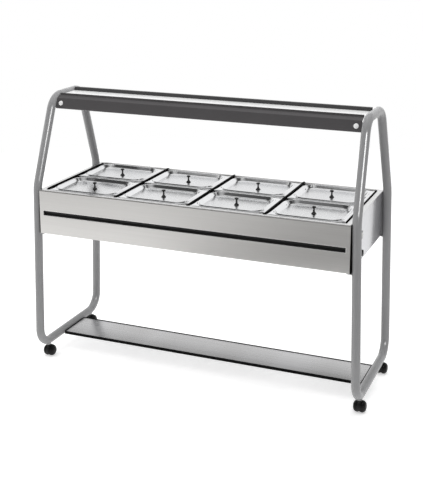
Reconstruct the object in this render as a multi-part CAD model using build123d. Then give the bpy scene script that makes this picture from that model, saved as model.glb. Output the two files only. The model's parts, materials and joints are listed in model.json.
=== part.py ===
from build123d import *
import math
import os

# Hot buffet counter on casters: a stainless well with eight lidded half-size
# gastronorm pans, hung between two closed loops of bent tube, with a canopy
# above and a narrow shelf below.
# Frame: X along the length (+X is the end with the controls), -Y is the
# customer's side, +Z up, origin on the floor under the middle.

# ---------------------------------------------------------------- dimensions
# side frames
TUBE_R = 18.5
TUBE_WALL = 2.0
FRAME_X = 714.0          # legs at the kink
FOOT_X = 732.0           # legs at the bottom bar: the loops lean in a little
LEG_Y = 264.0            # legs, either side of the middle
BAR_Z = 78.0             # bottom bar, centre
KINK_Z = 829.0           # where the legs start to lean in
TOP_X = 705.0            # loops at the top bar
TOP_Y = 121.5            # corners of the top bar
TOP_Z = 1206.0           # top bar, centre
R_FOOT, R_KINK, R_TOP = 80.0, 150.0, 85.0

# well casing
WELL_X = 695.0           # half length
WELL_Y = 283.0           # half depth
WELL_TOP = 820.0
WELL_BOT = 622.0
SHEET = 1.5
SLOT_X, SLOT_Z0, SLOT_Z1 = 677.0, 706.5, 726.5

# pan opening and tank
OPEN_X, OPEN_Y = 672.0, 268.0
LEDGE_Z = 816.0
BAR_TOP = 821.5          # the bars stand a little above the lids
TANK_X, TANK_Y = 655.0, 256.0
TANK_FLOOR = 674.0       # underside of the tank's floor

# gastronorm pans, size 1/2
PITCH_X = 335.0
PITCH_Y = 267.0
GN_X, GN_Y = 325.0, 265.0
PAN_X, PAN_Y = 297.0, 237.0
PAN_DEPTH = 100.0
PAN_T = 1.0
FLANGE_T = 1.2
DISH_X, DISH_Y, DISH_R, DISH_DEPTH = 274.0, 214.0, 46.0, 14.0
KNOB_H = 32.2

# canopy
CAN_X = 686.2
FAS_LOW = (-135.0, 1156.0)   # y, z of the fascia's lower edge
FAS_HIGH = (-120.0, 1200.0)  # y, z of the fascia's upper bend
FAS_LIP = (-93.0, 1210.0)    # y, z of the bevel's upper end
LIP_Z = 1218.0               # top of the lip that stands on it
TRAY_Z = 1210.0
RAIL_Y0, RAIL_Y1, RAIL_Z1 = 33.0, 49.0, 1225.0

# lower shelf
SHELF_X = 709.0
SHELF_Y0, SHELF_Y1, SHELF_Z = -80.0, 99.0, 78.0
SHELF_LIP = 12.0
TRIM_T = 3.0             # black edging round the shelf
TRIM_UP = 4.0            # its stand above the shelf at the rear
STRIP_GAP = 0.1          # between the legs and their black strips

# casters
CAST_Y = 195.0
CAST_TRAIL = 10.0
WHEEL_R = 25.0
STEM_R = 5.0
RUN = 0.05               # radial running clearance

# controls on the right end panel, cable gland in the bottom cover
KNOB_Y, KNOB_Z = -165.0, 674.0
SWITCH_Y, SWITCH_Z = -108.0, 730.0
GLAND_X, GLAND_Y = 640.0, 225.0

# drain
DRAIN_X, DRAIN_Y = 590.0, 150.0
VALVE_Z = 590.0

BOLT_Z = (674.0, 784.0)

parts = {}


# ------------------------------------------------------------------- helpers
def bx(x0, x1, y0, y1, z0, z1):
    return Pos((x0 + x1) / 2, (y0 + y1) / 2, (z0 + z1) / 2) * Box(
        abs(x1 - x0), abs(y1 - y0), abs(z1 - z0)
    )


def cz(x, y, z0, z1, r):
    return Pos(x, y, (z0 + z1) / 2) * Cylinder(r, abs(z1 - z0))


def cx(x0, x1, y, z, r):
    return Pos((x0 + x1) / 2, y, z) * Rot(0, 90, 0) * Cylinder(r, abs(x1 - x0))


def cy(x, y0, y1, z, r):
    return Pos(x, (y0 + y1) / 2, z) * Rot(90, 0, 0) * Cylinder(r, abs(y1 - y0))


def slab(w, d, r, z0, z1, x=0.0, y=0.0):
    return Pos(x, y, z0) * extrude(RectangleRounded(w, d, r), amount=z1 - z0)


def yz_plate(points, x0, x1):
    # prism along X from a closed outline of (y, z) points
    wire = Polyline(*[(0, p[0], p[1]) for p in points], close=True)
    face = make_face(wire)
    return Pos(x0, 0, 0) * extrude(face, amount=x1 - x0, dir=(1, 0, 0))


def xz_plate(points, y0, y1):
    # prism along Y from a closed outline of (x, z) points
    wire = Polyline(*[(p[0], y0, p[1]) for p in points], close=True)
    return extrude(make_face(wire), amount=y1 - y0, dir=(0, 1, 0))


def leg_x(z):
    # centre of a right-hand leg at a height below the kink
    return FRAME_X + (FOOT_X - FRAME_X) * (KINK_Z - z) / (KINK_Z - BAR_Z)


def turned(points):
    # solid of revolution about Z from a closed (r, z) outline
    wire = Polyline(*[(p[0], 0, p[1]) for p in points], close=True)
    return revolve(make_face(wire), axis=Axis.Z)


def save(name, shape):
    if isinstance(shape, (list, tuple)):
        shape = Compound(children=list(shape))
    parts[name] = shape


# --------------------------------------------------------------- side frames
def half_loop(radius):
    path = FilletPolyline(
        (FOOT_X, 0, BAR_Z),
        (FOOT_X, -LEG_Y, BAR_Z),
        (FRAME_X, -LEG_Y, KINK_Z),
        (TOP_X, -TOP_Y, TOP_Z),
        (TOP_X, 0, TOP_Z),
        radius=[R_FOOT, R_KINK, R_TOP],
    )
    start = Plane(origin=(FOOT_X, 0, BAR_Z), x_dir=(1, 0, 0), z_dir=(0, -1, 0))
    return sweep(start * Circle(radius), path=path)


def full_loop(radius):
    half = half_loop(radius)
    return half + mirror(half, about=Plane.XZ)


# direction of the fascia's face in the y-z plane
FY, FZ = FAS_HIGH[0] - FAS_LOW[0], FAS_HIGH[1] - FAS_LOW[1]
FL = math.hypot(FY, FZ)
FU = (FY / FL, FZ / FL)          # up along the face
FN = (-FZ / FL, FY / FL)         # outward, towards the customer


def on_face(along, out):
    # y, z of a point on the fascia: along from its lower edge, out of its face
    return (
        FAS_LOW[0] + FU[0] * along + FN[0] * out,
        FAS_LOW[1] + FU[1] * along + FN[1] * out,
    )


frame = full_loop(TUBE_R) - full_loop(TUBE_R - TUBE_WALL)
for sy in (-1, 1):
    # sleeve for the caster's stem, welded through the bottom bar
    frame += cz(FOOT_X, sy * CAST_Y, BAR_Z - TUBE_R - 1.0, BAR_Z + 14.0, 8.0)
    # seat under the well's corner
    frame += bx(682, leg_x(WELL_BOT) - TUBE_R + 1.5, sy * LEG_Y - 15, sy * LEG_Y + 15, WELL_BOT - 4, WELL_BOT)
# tab behind the end of the fascia
frame += yz_plate(
    [on_face(6, -2), on_face(40, -2), on_face(40, -6), on_face(6, -6)],
    640, TOP_X - TUBE_R + 2.6,
)
# tab under the end of the top plate
frame += bx(655, TOP_X - TUBE_R + 1.5, -40, 40, TRAY_Z - 6, TRAY_Z - 2)
# tab under the end of the shelf
frame += bx(668, FOOT_X - TUBE_R + 1.5, SHELF_Y0 + 22, SHELF_Y1 - 22, SHELF_Z - 5.5, SHELF_Z - SHEET)
for sy in (-1, 1):
    frame -= cz(FOOT_X, sy * CAST_Y, BAR_Z - TUBE_R - 3.0, BAR_Z + 14.5, STEM_R + RUN)
    for z in BOLT_Z:
        frame -= cx(WELL_X - 1, leg_x(z) - TUBE_R + 4.0, sy * LEG_Y, z, 3.2)
STUD_X, STUD_Y = 690.0, (SHELF_Y0 + 40, SHELF_Y1 - 40)
for y in STUD_Y:
    frame -= cz(STUD_X, y, SHELF_Z - 7, SHELF_Z, 3.2)
CAP_A = 23.0                     # place of the fascia's screws up its face
CAP_X = 664.0
cap_c = on_face(CAP_A, -10)
cap_plane = Plane(
    origin=(CAP_X, cap_c[0], cap_c[1]), x_dir=(1, 0, 0), z_dir=(0, FN[0], FN[1])
)
frame -= cap_plane * (Pos(0, 0, 10) * Cylinder(2.7, 20))
save("right_side_frame", frame)
save("left_side_frame", mirror(frame, about=Plane.YZ))

# --------------------------------------------------------------- well casing
# the front is an upper and a lower sheet, joined by a piece at each end of the slot
y_out, y_in = -WELL_Y, -WELL_Y + SHEET
upper = bx(-WELL_X, WELL_X, y_out, y_in, SLOT_Z1, WELL_TOP - SHEET)
upper += bx(-WELL_X + 2, WELL_X - 2, y_in, -WELL_Y + 18, LEDGE_Z - 3, LEDGE_Z - 1.5)
lower = bx(-WELL_X, WELL_X, y_out, y_in, WELL_BOT, SLOT_Z0)
lower += bx(-WELL_X + 2, WELL_X - 2, y_in, -WELL_Y + 22, WELL_BOT, WELL_BOT + SHEET)
front = [upper, lower]
for s in (-1, 1):
    front.append(bx(s * SLOT_X, s * WELL_X, y_out, y_in, SLOT_Z0, SLOT_Z1))
save("front_panel", front)

rear = bx(-WELL_X, WELL_X, -y_in, -y_out, WELL_BOT, WELL_TOP - SHEET)
rear += bx(-WELL_X + 2, WELL_X - 2, WELL_Y - 18, -y_in, LEDGE_Z - 3, LEDGE_Z - 1.5)
rear += bx(-WELL_X + 2, WELL_X - 2, WELL_Y - 22, -y_in, WELL_BOT, WELL_BOT + SHEET)
save("rear_panel", rear)

# dark channel behind the slot: top, back, a floor that rises inwards, two ends
CH_D, CH_W = 12.6, 1.2
channel = [
    bx(-SLOT_X - 5, SLOT_X + 5, y_in, y_in + CH_D + CH_W, SLOT_Z1 + 3.8, SLOT_Z1 + 5),
    bx(-SLOT_X - 5, SLOT_X + 5, y_in + CH_D, y_in + CH_D + CH_W, SLOT_Z0 + 7, SLOT_Z1 + 3.8),
    yz_plate(
        [(y_in, SLOT_Z0 + 0.5), (y_in + CH_D, SLOT_Z0 + 7), (y_in + CH_D + CH_W, SLOT_Z0 + 7),
         (y_in + CH_D + CH_W, SLOT_Z0 + 4), (y_in, SLOT_Z0 - 5)],
        -SLOT_X - 5, SLOT_X + 5,
    ),
]
for s in (-1, 1):
    channel.append(bx(s * (SLOT_X + 5), s * (SLOT_X + 6.2), y_in, y_in + CH_D + CH_W, SLOT_Z0 - 5, SLOT_Z1 + 5))
save("slot_channel", channel)


def end_panel():
    p = bx(WELL_X - SHEET, WELL_X, -WELL_Y + SHEET, WELL_Y - SHEET, WELL_BOT, WELL_TOP - SHEET)
    for sy in (-1, 1):
        y0, y1 = sy * (WELL_Y - SHEET), sy * (WELL_Y - 2 * SHEET)
        p += bx(WELL_X - 9, WELL_X - SHEET, min(y0, y1), max(y0, y1), WELL_BOT + 8, LEDGE_Z - 8)
        for z in BOLT_Z:
            p -= cx(WELL_X - 3, WELL_X + 1, sy * LEG_Y, z, 3.2)
    return p


right_end = end_panel()
save("left_end_panel", mirror(right_end, about=Plane.YZ))
right_end -= cx(WELL_X - 3, WELL_X + 1, KNOB_Y, KNOB_Z, 4.0)
right_end -= bx(WELL_X - 3, WELL_X + 1, SWITCH_Y - 9.7, SWITCH_Y + 9.7, SWITCH_Z - 13.7, SWITCH_Z + 13.7)
save("right_end_panel", right_end)

bottom = bx(-WELL_X + 2, WELL_X - 2, -WELL_Y + 2, WELL_Y - 2, WELL_BOT + SHEET, WELL_BOT + 2 * SHEET)
bottom -= cz(DRAIN_X, DRAIN_Y, WELL_BOT - 2, WELL_BOT + 6, 12.0)
bottom -= cz(GLAND_X, GLAND_Y, WELL_BOT - 2, WELL_BOT + 6, 9.7)
save("bottom_cover", bottom)

rim = slab(2 * WELL_X, 2 * WELL_Y, 3.0, WELL_TOP - SHEET, WELL_TOP)
rim += slab(2 * OPEN_X + 3, 2 * OPEN_Y + 3, 15.5, LEDGE_Z, WELL_TOP)
rim -= slab(2 * OPEN_X, 2 * OPEN_Y, 14.0, LEDGE_Z - 1, WELL_TOP + 1)
save("top_rim", rim)

# ---------------------------------------------------------------------- tank
# welded from flat sheets: floor, four walls, four strips of the ledge
TX, TY, W = TANK_X, TANK_Y, SHEET
floor = bx(-TX - W, TX + W, -TY - W, TY + W, TANK_FLOOR, TANK_FLOOR + W)
floor -= cz(DRAIN_X, DRAIN_Y, TANK_FLOOR - 2, TANK_FLOOR + 4, 8.0)
tank = [floor]
for s in (-1, 1):
    tank.append(bx(-TX - W, TX + W, s * TY, s * (TY + W), TANK_FLOOR + W, LEDGE_Z - W))
    tank.append(bx(s * TX, s * (TX + W), -TY, TY, TANK_FLOOR + W, LEDGE_Z - W))
    tank.append(bx(-WELL_X + 4, WELL_X - 4, s * TY, s * (WELL_Y - 4), LEDGE_Z - W, LEDGE_Z))
    tank.append(bx(s * TX, s * (WELL_X - 4), -TY, TY, LEDGE_Z - W, LEDGE_Z))
save("well_tank", tank)

# bars that carry the pans: three across the tank, one strip at either end
bars = []
for i in (-1, 0, 1):
    x = i * PITCH_X
    b = bx(x - 15, x + 15, -TANK_Y, TANK_Y, LEDGE_Z - 10, LEDGE_Z)
    b -= bx(x - 13.5, x + 13.5, -TANK_Y - 1, TANK_Y + 1, LEDGE_Z - 11, LEDGE_Z - 1.5)
    b += bx(x - 4.7, x + 4.7, -OPEN_Y + 1, OPEN_Y - 1, LEDGE_Z, BAR_TOP)
    # the rear end lies on the rim
    b += bx(x - 4.7, x + 4.7, OPEN_Y - 2, WELL_Y - 1, WELL_TOP, BAR_TOP)
    bars.append(b)
for s in (-1, 1):
    bars.append(bx(s * 665.3, s * (OPEN_X - 0.2), -OPEN_Y + 16, OPEN_Y - 16, LEDGE_Z, BAR_TOP + 1.5))
save("pan_support_bars", bars)

bars = []
for i in range(4):
    x = (i - 1.5) * PITCH_X
    a = -TANK_X if i == 0 else x - PITCH_X / 2 + 15
    b = TANK_X if i == 3 else x + PITCH_X / 2 - 15
    d = bx(a, b, -11, 11, LEDGE_Z - 8, LEDGE_Z)
    d -= bx(a - 1, b + 1, -9.5, 9.5, LEDGE_Z - 9, LEDGE_Z - 1.5)
    bars.append(d)
save("pan_divider_bars", bars)

# tubular heaters under the tank's floor
heaters = []
HEAT_Z = TANK_FLOOR - 4.6
for y0 in (-175.0, 65.0):
    path = FilletPolyline(
        (640, y0, HEAT_Z), (-640, y0, HEAT_Z), (-640, y0 + 110, HEAT_Z), (640, y0 + 110, HEAT_Z),
        radius=50.0,
    )
    sec = Plane(origin=(640, y0, HEAT_Z), x_dir=(0, 1, 0), z_dir=(-1, 0, 0))
    heaters.append(sweep(sec * Circle(4.0), path=path))
save("heating_elements", heaters)

# ------------------------------------------------------------------ controls
body = bx(662, WELL_X - SHEET, KNOB_Y - 19, KNOB_Y + 19, KNOB_Z - 19, KNOB_Z + 19)
body += cx(WELL_X - SHEET, 712, KNOB_Y, KNOB_Z, 3.0)
save("thermostat_body", body)

knob = turned([(0, 697), (16.5, 697), (16.5, 700.5), (13.2, 703.5), (12.2, 717.5), (11.0, 719), (0, 719)])
knob -= cz(0, 0, 690, 713, 3.0 + RUN)
knob += bx(-1.5, 1.5, 4.0, 15.6, 701.0, 719.8) - bx(-3, 3, 14.0, 17, 705, 721)
# turned about Z, then laid along +X with the pointer up
knob = Pos(0, KNOB_Y, KNOB_Z) * (Plane(origin=(0, 0, 0), x_dir=(0, 1, 0), z_dir=(1, 0, 0)) * knob)
save("thermostat_knob", knob)

PIV_X = 694.0
house = bx(WELL_X, WELL_X + 3, SWITCH_Y - 11.5, SWITCH_Y + 11.5, SWITCH_Z - 16, SWITCH_Z + 16)
house = fillet(house.edges().filter_by(Axis.X), 2.5)
house += bx(674, WELL_X, SWITCH_Y - 9.5, SWITCH_Y + 9.5, SWITCH_Z - 13.5, SWITCH_Z + 13.5)
house -= cy(PIV_X, SWITCH_Y - 7.6, SWITCH_Y + 7.6, SWITCH_Z, 11.5)
house -= cy(PIV_X, SWITCH_Y - 9.0, SWITCH_Y + 9.0, SWITCH_Z, 1.5 + RUN)
save("switch_housing", house)

rock = cy(PIV_X, SWITCH_Y - 7.3, SWITCH_Y + 7.3, SWITCH_Z, 11.2)
rock -= bx(PIV_X - 20, PIV_X - 3.5, SWITCH_Y - 10, SWITCH_Y + 10, SWITCH_Z - 20, SWITCH_Z + 20)
for s in (-1, 1):
    cut = Pos(PIV_X + 7.2, SWITCH_Y, SWITCH_Z) * Rot(0, -s * 12, 0) * (
        Pos(10, 0, s * 5) * Box(20, 30, 30.0)
    )
    rock -= cut
rock += cy(PIV_X, SWITCH_Y - 8.8, SWITCH_Y + 8.8, SWITCH_Z, 1.5)
# rests with its lower half out
rock = Pos(PIV_X, SWITCH_Y, SWITCH_Z) * Rot(0, -10, 0) * Pos(-PIV_X, -SWITCH_Y, -SWITCH_Z) * rock
save("switch_rocker", rock)

# gland through the bottom cover, pointing down
GLAND_Z = WELL_BOT + SHEET       # outer face of the cover
gland = turned([(r, GLAND_Z - d) for r, d in (
    (4.0, -11), (9.4, -11), (9.4, -8), (12.0, -8), (12.0, -SHEET), (9.5, -SHEET), (9.5, 0),
    (12.5, 0), (12.5, 8), (10.5, 9), (10.5, 15), (8.5, 20), (4.0, 21),
)])
gland = Pos(GLAND_X, GLAND_Y, 0) * gland
save("cable_gland", gland)

# --------------------------------------------------------------------- drain
valve = turned([
    (7.5, TANK_FLOOR), (18.0, TANK_FLOOR), (18.0, TANK_FLOOR - 3), (10.5, TANK_FLOOR - 3),
    (10.5, VALVE_Z + 18), (15.0, VALVE_Z + 16), (18.0, VALVE_Z + 9), (18.0, VALVE_Z - 9),
    (15.0, VALVE_Z - 16), (10.0, VALVE_Z - 18), (10.0, VALVE_Z - 44), (7.5, VALVE_Z - 44),
])
valve = Pos(DRAIN_X, DRAIN_Y, 0) * valve
stem_x0 = DRAIN_X + 14
valve += cx(stem_x0, DRAIN_X + 24, DRAIN_Y, VALVE_Z, 8.0)
valve += cx(DRAIN_X + 24, DRAIN_X + 33, DRAIN_Y, VALVE_Z, 4.0)
valve -= cz(DRAIN_X, DRAIN_Y, VALVE_Z - 45, TANK_FLOOR + 1, 7.5)
save("drain_valve_body", valve)

lx0 = DRAIN_X + 24.5
lever = cx(lx0, lx0 + 8, DRAIN_Y, VALVE_Z, 9.0)
lever += bx(lx0 + 4, lx0 + 8, DRAIN_Y, DRAIN_Y + 62, VALVE_Z - 6.5, VALVE_Z + 6.5)
lever += cx(lx0 + 2.5, lx0 + 9.5, DRAIN_Y + 62, VALVE_Z, 7.5)
lever -= cx(lx0 - 1, lx0 + 12, DRAIN_Y, VALVE_Z, 4.0 + RUN)
save("drain_valve_lever", lever)

# -------------------------------------------------------------------- canopy
T = 2.0
BY, BZ = FAS_LIP[0] - FAS_HIGH[0], FAS_LIP[1] - FAS_HIGH[1]
BL = math.hypot(BY, BZ)
BN = (-BZ / BL, BY / BL)         # outward from the bevel


def on_bevel(along, out):
    # y, z of a point on the bevel: along from the fascia's upper bend
    return (
        FAS_HIGH[0] + BY / BL * along + BN[0] * out,
        FAS_HIGH[1] + BZ / BL * along + BN[1] * out,
    )


outline = [
    on_face(0, 0), on_face(FL - 2.5, 0), on_bevel(2.5, 0), on_bevel(BL, 0),
    (FAS_LIP[0], LIP_Z), (FAS_LIP[0] + T, LIP_Z), (FAS_LIP[0] + T, TRAY_Z - 1.2),
    on_bevel(BL - 1.5, -T), on_bevel(3.2, -T), on_face(FL - 3.2, -T),
    on_face(T, -T), on_face(T, -9), on_face(0, -9),
]
fascia = yz_plate(outline, -CAN_X, CAN_X)
for s in (-1, 1):
    hole = Plane(origin=(s * CAP_X, cap_c[0], cap_c[1]), x_dir=(1, 0, 0), z_dir=(0, FN[0], FN[1]))
    fascia -= hole * (Pos(0, 0, 10) * Cylinder(2.7, 20))
save("canopy_fascia", fascia)

tray = bx(-CAN_X, CAN_X, FAS_LIP[0] + T, RAIL_Y1, TRAY_Z - T, TRAY_Z)
save("canopy_tray", tray)

rail = bx(-CAN_X, CAN_X, RAIL_Y0, RAIL_Y1, TRAY_Z, RAIL_Z1)
rail = fillet(rail.edges().filter_by(Axis.X).group_by(Axis.Z)[-1], 2.0)
rail -= bx(-CAN_X - 1, CAN_X + 1, RAIL_Y0 + 1.5, RAIL_Y1 - 1.5, TRAY_Z - 1, RAIL_Z1 - 2.5)
save("canopy_rear_rail", rail)

caps = []
for s in (-1, 1):
    o = on_face(CAP_A, 0)
    pl = Plane(origin=(s * CAP_X, o[0], o[1]), x_dir=(1, 0, 0), z_dir=(0, FN[0], FN[1]))
    c = turned([(0, -8.5), (2.5, -8.5), (2.5, 0), (10.5, 0), (10.5, 1.4), (9.4, 3.0), (6.5, 4.3), (3.0, 4.9), (0, 5.0)])
    caps.append(pl * c)
save("fascia_screws", caps)

lamp = bx(-560, 560, -34, 14, TRAY_Z - T - 22, TRAY_Z - T)
lamp += bx(-552, 552, -28, 8, TRAY_Z - T - 34, TRAY_Z - T - 22)
lamp = fillet(lamp.edges().filter_by(Axis.X).group_by(Axis.Z)[0], 8.0)
save("canopy_lamp", lamp)

# --------------------------------------------------------------- lower shelf
shelf = bx(-SHELF_X, SHELF_X, SHELF_Y0, SHELF_Y1, SHELF_Z - SHEET, SHELF_Z)
shelf += bx(-SHELF_X, SHELF_X, SHELF_Y0, SHELF_Y0 + SHEET, SHELF_Z - SHELF_LIP, SHELF_Z)
shelf += bx(-SHELF_X, SHELF_X, SHELF_Y1 - SHEET, SHELF_Y1, SHELF_Z - SHELF_LIP, SHELF_Z)
# studs welded under it, for the nuts below the frames' tabs
for s in (-1, 1):
    for y in STUD_Y:
        shelf += cz(s * STUD_X, y, SHELF_Z - 15, SHELF_Z - 0.7, 3.0)
save("lower_shelf", shelf)

# black edging of the shelf, and strips between the legs and the end panels
trims = [
    bx(-SHELF_X - TRIM_T, SHELF_X + TRIM_T, SHELF_Y0 - TRIM_T, SHELF_Y0, SHELF_Z - SHELF_LIP, SHELF_Z + 1.5),
    bx(-SHELF_X - TRIM_T, SHELF_X + TRIM_T, SHELF_Y1, SHELF_Y1 + TRIM_T, SHELF_Z - SHELF_LIP, SHELF_Z + TRIM_UP),
]
for s in (-1, 1):
    trims.append(bx(s * SHELF_X, s * (SHELF_X + TRIM_T), SHELF_Y0, SHELF_Y1, SHELF_Z - 1.3, SHELF_Z + 2.5))
    for sy in (-1, 1):
        # thicker towards the bottom, as the legs stand off there
        z0, z1 = WELL_BOT + 2, WELL_TOP - 3
        x0, x1 = (leg_x(z) - TUBE_R - STRIP_GAP for z in (z0, z1))
        edge = LEG_Y - (14 if sy < 0 else 6)
        y0, y1 = sorted((sy * edge, sy * (WELL_Y - 1)))
        strip = xz_plate([(s * WELL_X, z0), (s * x0, z0), (s * x1, z1), (s * WELL_X, z1)], y0, y1)
        for z in BOLT_Z:
            x = s * (WELL_X + 3)
            strip -= cx(x - 8, x + 8, sy * LEG_Y, z, 3.4)
        trims.append(strip)
save("rubber_trims", trims)


# ------------------------------------------------------------------- bolts
def bolt():
    # button-head M6 with its head's seat at z = 0 and the shank downwards
    return turned([(0, -12), (3.0, -12), (3.0, 0), (5.5, 0), (5.2, 1.6), (3.8, 2.9), (0, 3.3)])


bolts = []
for s in (-1, 1):
    for sy in (-1, 1):
        for z in BOLT_Z:
            pl = Plane(origin=(s * (WELL_X - SHEET), sy * LEG_Y, z), x_dir=(0, 1, 0), z_dir=(-s, 0, 0))
            bolts.append(pl * bolt())
    for y in STUD_Y:
        nut = extrude(RegularPolygon(5.75, 6), amount=5.0) - cz(0, 0, -1, 6, 3.05)
        bolts.append(Pos(s * STUD_X, y, SHELF_Z - 10.6) * nut)
save("frame_bolts", bolts)

# ------------------------------------------------------------------- casters
AXLE_R = 3.0


def caster_body(x, y):
    ay = CAST_TRAIL
    b = cx(-3.2, 3.2, ay, WHEEL_R, WHEEL_R - 2.5)
    b += bx(-3.2, 3.2, -9, ay, WHEEL_R + 2, 2 * WHEEL_R + 2)
    b += cz(0, 0, 2 * WHEEL_R + 1.2, BAR_Z - TUBE_R - 1.3, 9.0)
    b += cz(0, 0, 2 * WHEEL_R + 4, BAR_Z + 12.0, STEM_R)
    b -= cx(-5, 5, ay, WHEEL_R, AXLE_R + RUN)
    return Pos(x, y, 0) * b


def caster_wheels(x, y):
    prof = [
        (AXLE_R, 3.6), (21.7, 3.6), (24.0, 4.7), (WHEEL_R, 6.8), (WHEEL_R, 12.2), (24.2, 15.8),
        (22.0, 20.0), (18.2, 23.6), (12.9, 26.2), (6.7, 27.4), (0, 27.5), (0, 23.4), (AXLE_R, 23.4),
    ]
    out = []
    for s in (-1, 1):
        w = turned(prof)
        pl = Plane(origin=(x, y + CAST_TRAIL, WHEEL_R), x_dir=(0, 1, 0), z_dir=(s, 0, 0))
        out.append(pl * w)
    out.append(Pos(x, y + CAST_TRAIL, WHEEL_R) * Rot(0, 90, 0) * Cylinder(AXLE_R, 46.8))
    return out


for fb, sy in (("front", -1), ("rear", 1)):
    for lr, sx in (("left", -1), ("right", 1)):
        save(f"caster_body_{fb}_{lr}", caster_body(sx * FOOT_X, sy * CAST_Y))
        save(f"caster_wheels_{fb}_{lr}", caster_wheels(sx * FOOT_X, sy * CAST_Y))

# -------------------------------------------------------------- pans and lids
def make_pan():
    rim_z = LEDGE_Z + FLANGE_T
    p = slab(GN_X, GN_Y, 14.0, LEDGE_Z, rim_z)
    o = slab(PAN_X, PAN_Y, 40.0, LEDGE_Z - PAN_DEPTH, rim_z)
    o = fillet(o.faces().sort_by(Axis.Z)[0].edges(), 22.0)
    i = slab(PAN_X - 2 * PAN_T, PAN_Y - 2 * PAN_T, 39.0, LEDGE_Z - PAN_DEPTH + PAN_T, rim_z + 1)
    i = fillet(i.faces().sort_by(Axis.Z)[0].edges(), 21.0)
    return p + o - i


LID_Z0 = LEDGE_Z + FLANGE_T
LID_Z1 = LID_Z0 + FLANGE_T
FLOOR_Z = LID_Z1 - DISH_DEPTH


def make_lid():
    plate = slab(GN_X, GN_Y, 14.0, LID_Z0, LID_Z1)
    outer = Pos(0, 0, LID_Z1) * extrude(
        RectangleRounded(DISH_X + 3.0, DISH_Y + 3.0, DISH_R + 1.5), amount=-(DISH_DEPTH + FLANGE_T), taper=28)
    inner = Pos(0, 0, LID_Z1) * extrude(
        RectangleRounded(DISH_X, DISH_Y, DISH_R), amount=-DISH_DEPTH, taper=28)
    inner = fillet(inner.faces().sort_by(Axis.Z)[0].edges(), 4.0)
    outer = fillet(outer.faces().sort_by(Axis.Z)[0].edges(), 5.0)
    lid = plate + outer - inner
    lid -= cz(0, 0, FLOOR_Z - 4, FLOOR_Z + 4, 2.3)
    return lid


def make_knob():
    k = turned([
        (0, 0), (10.5, 0), (10.5, 1.8), (9.6, 2.8), (6.2, 6.0), (4.2, 10.5), (3.4, 15.0), (3.3, 20.0),
        (3.8, 22.5), (6.8, 24.6), (8.6, 26.4), (8.8, 28.2), (7.6, 30.4), (4.5, 31.8), (0, KNOB_H),
    ])
    k -= cz(0, 0, -1, 9, 2.05)
    s = turned([(0, -3.4), (3.4, -3.4), (4.5, -1.9), (4.5, -1.2), (2.0, -1.2), (2.0, 8.5), (0, 8.5)])
    return k, s


pan0, lid0 = make_pan(), make_lid()
knob0, screw0 = make_knob()
for row, sy in (("front", -1), ("rear", 1)):
    for i in range(4):
        at = Pos((i - 1.5) * PITCH_X, sy * PITCH_Y / 2, 0)
        up = Pos((i - 1.5) * PITCH_X, sy * PITCH_Y / 2, FLOOR_Z)
        save(f"pan_{row}_{i + 1}", at * pan0)
        save(f"lid_{row}_{i + 1}", at * lid0)
        save(f"lid_knob_{row}_{i + 1}", [up * knob0, up * screw0])

# -------------------------------------------------------------------- export
os.makedirs("parts", exist_ok=True)
for name, shape in parts.items():
    export_step(shape, f"parts/{name}.step")
print(len(parts), "nodes")
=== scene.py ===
import json
import math

import bmesh
import bpy
from mathutils import Matrix, Vector

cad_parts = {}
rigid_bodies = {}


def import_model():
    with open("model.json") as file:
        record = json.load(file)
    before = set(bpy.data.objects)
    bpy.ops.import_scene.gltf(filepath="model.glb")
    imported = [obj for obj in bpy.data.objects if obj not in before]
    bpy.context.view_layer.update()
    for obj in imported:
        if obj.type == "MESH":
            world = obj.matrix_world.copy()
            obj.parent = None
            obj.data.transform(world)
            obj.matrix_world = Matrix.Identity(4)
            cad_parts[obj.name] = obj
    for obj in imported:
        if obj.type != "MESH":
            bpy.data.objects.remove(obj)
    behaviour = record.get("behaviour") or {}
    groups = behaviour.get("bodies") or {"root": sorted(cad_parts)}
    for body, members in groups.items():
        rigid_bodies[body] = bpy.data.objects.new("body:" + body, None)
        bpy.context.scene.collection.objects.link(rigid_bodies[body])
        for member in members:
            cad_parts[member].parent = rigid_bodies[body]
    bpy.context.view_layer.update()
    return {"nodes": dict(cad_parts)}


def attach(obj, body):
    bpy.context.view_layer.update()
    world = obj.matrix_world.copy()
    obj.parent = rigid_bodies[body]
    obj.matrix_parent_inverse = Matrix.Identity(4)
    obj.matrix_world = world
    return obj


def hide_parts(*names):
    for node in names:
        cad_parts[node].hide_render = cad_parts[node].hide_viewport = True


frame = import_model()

# Hot buffet counter. Lengths below are in millimetres and become metres when
# a mesh is made. X runs along the length, -Y is the customer's side, Z is up.
MM = 0.001
ROOT = "counter"
NODES = frame["nodes"]

FRAME_X, FOOT_X, LEG_Y, BAR_Z, KINK_Z = 714.0, 732.0, 264.0, 78.0, 829.0
TOP_X, TOP_Y, TOP_Z = 705.0, 121.5, 1206.0
TUBE_R = 18.5
R_FOOT, R_KINK, R_TOP = 80.0, 150.0, 85.0
WELL_X, WELL_Y, WELL_TOP, WELL_BOT = 695.0, 283.0, 820.0, 622.0
OPEN_X, OPEN_Y, LEDGE_Z, BAR_TOP = 672.0, 268.0, 816.0, 821.5
PITCH_X, PITCH_Y = 335.0, 267.0
SLOT_X, SLOT_Z0, SLOT_Z1 = 677.0, 706.5, 726.5
LID_Z, DISH_Z = 818.4, 804.4
CAN_X = 686.2
FAS_LOW, FAS_HIGH, FAS_LIP, LIP_Z = (-135.0, 1156.0), (-120.0, 1200.0), (-93.0, 1210.0), 1218.0
TRAY_Z = 1210.0
RAIL_Y0, RAIL_Y1, RAIL_Z1 = 33.0, 49.0, 1225.0
SHELF_X, SHELF_Y0, SHELF_Y1, SHELF_Z, SHELF_LIP = 709.0, -80.0, 99.0, 78.0, 12.0
STUD_X, TRIM_T, TRIM_UP = 690.0, 3.0, 4.0
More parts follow.
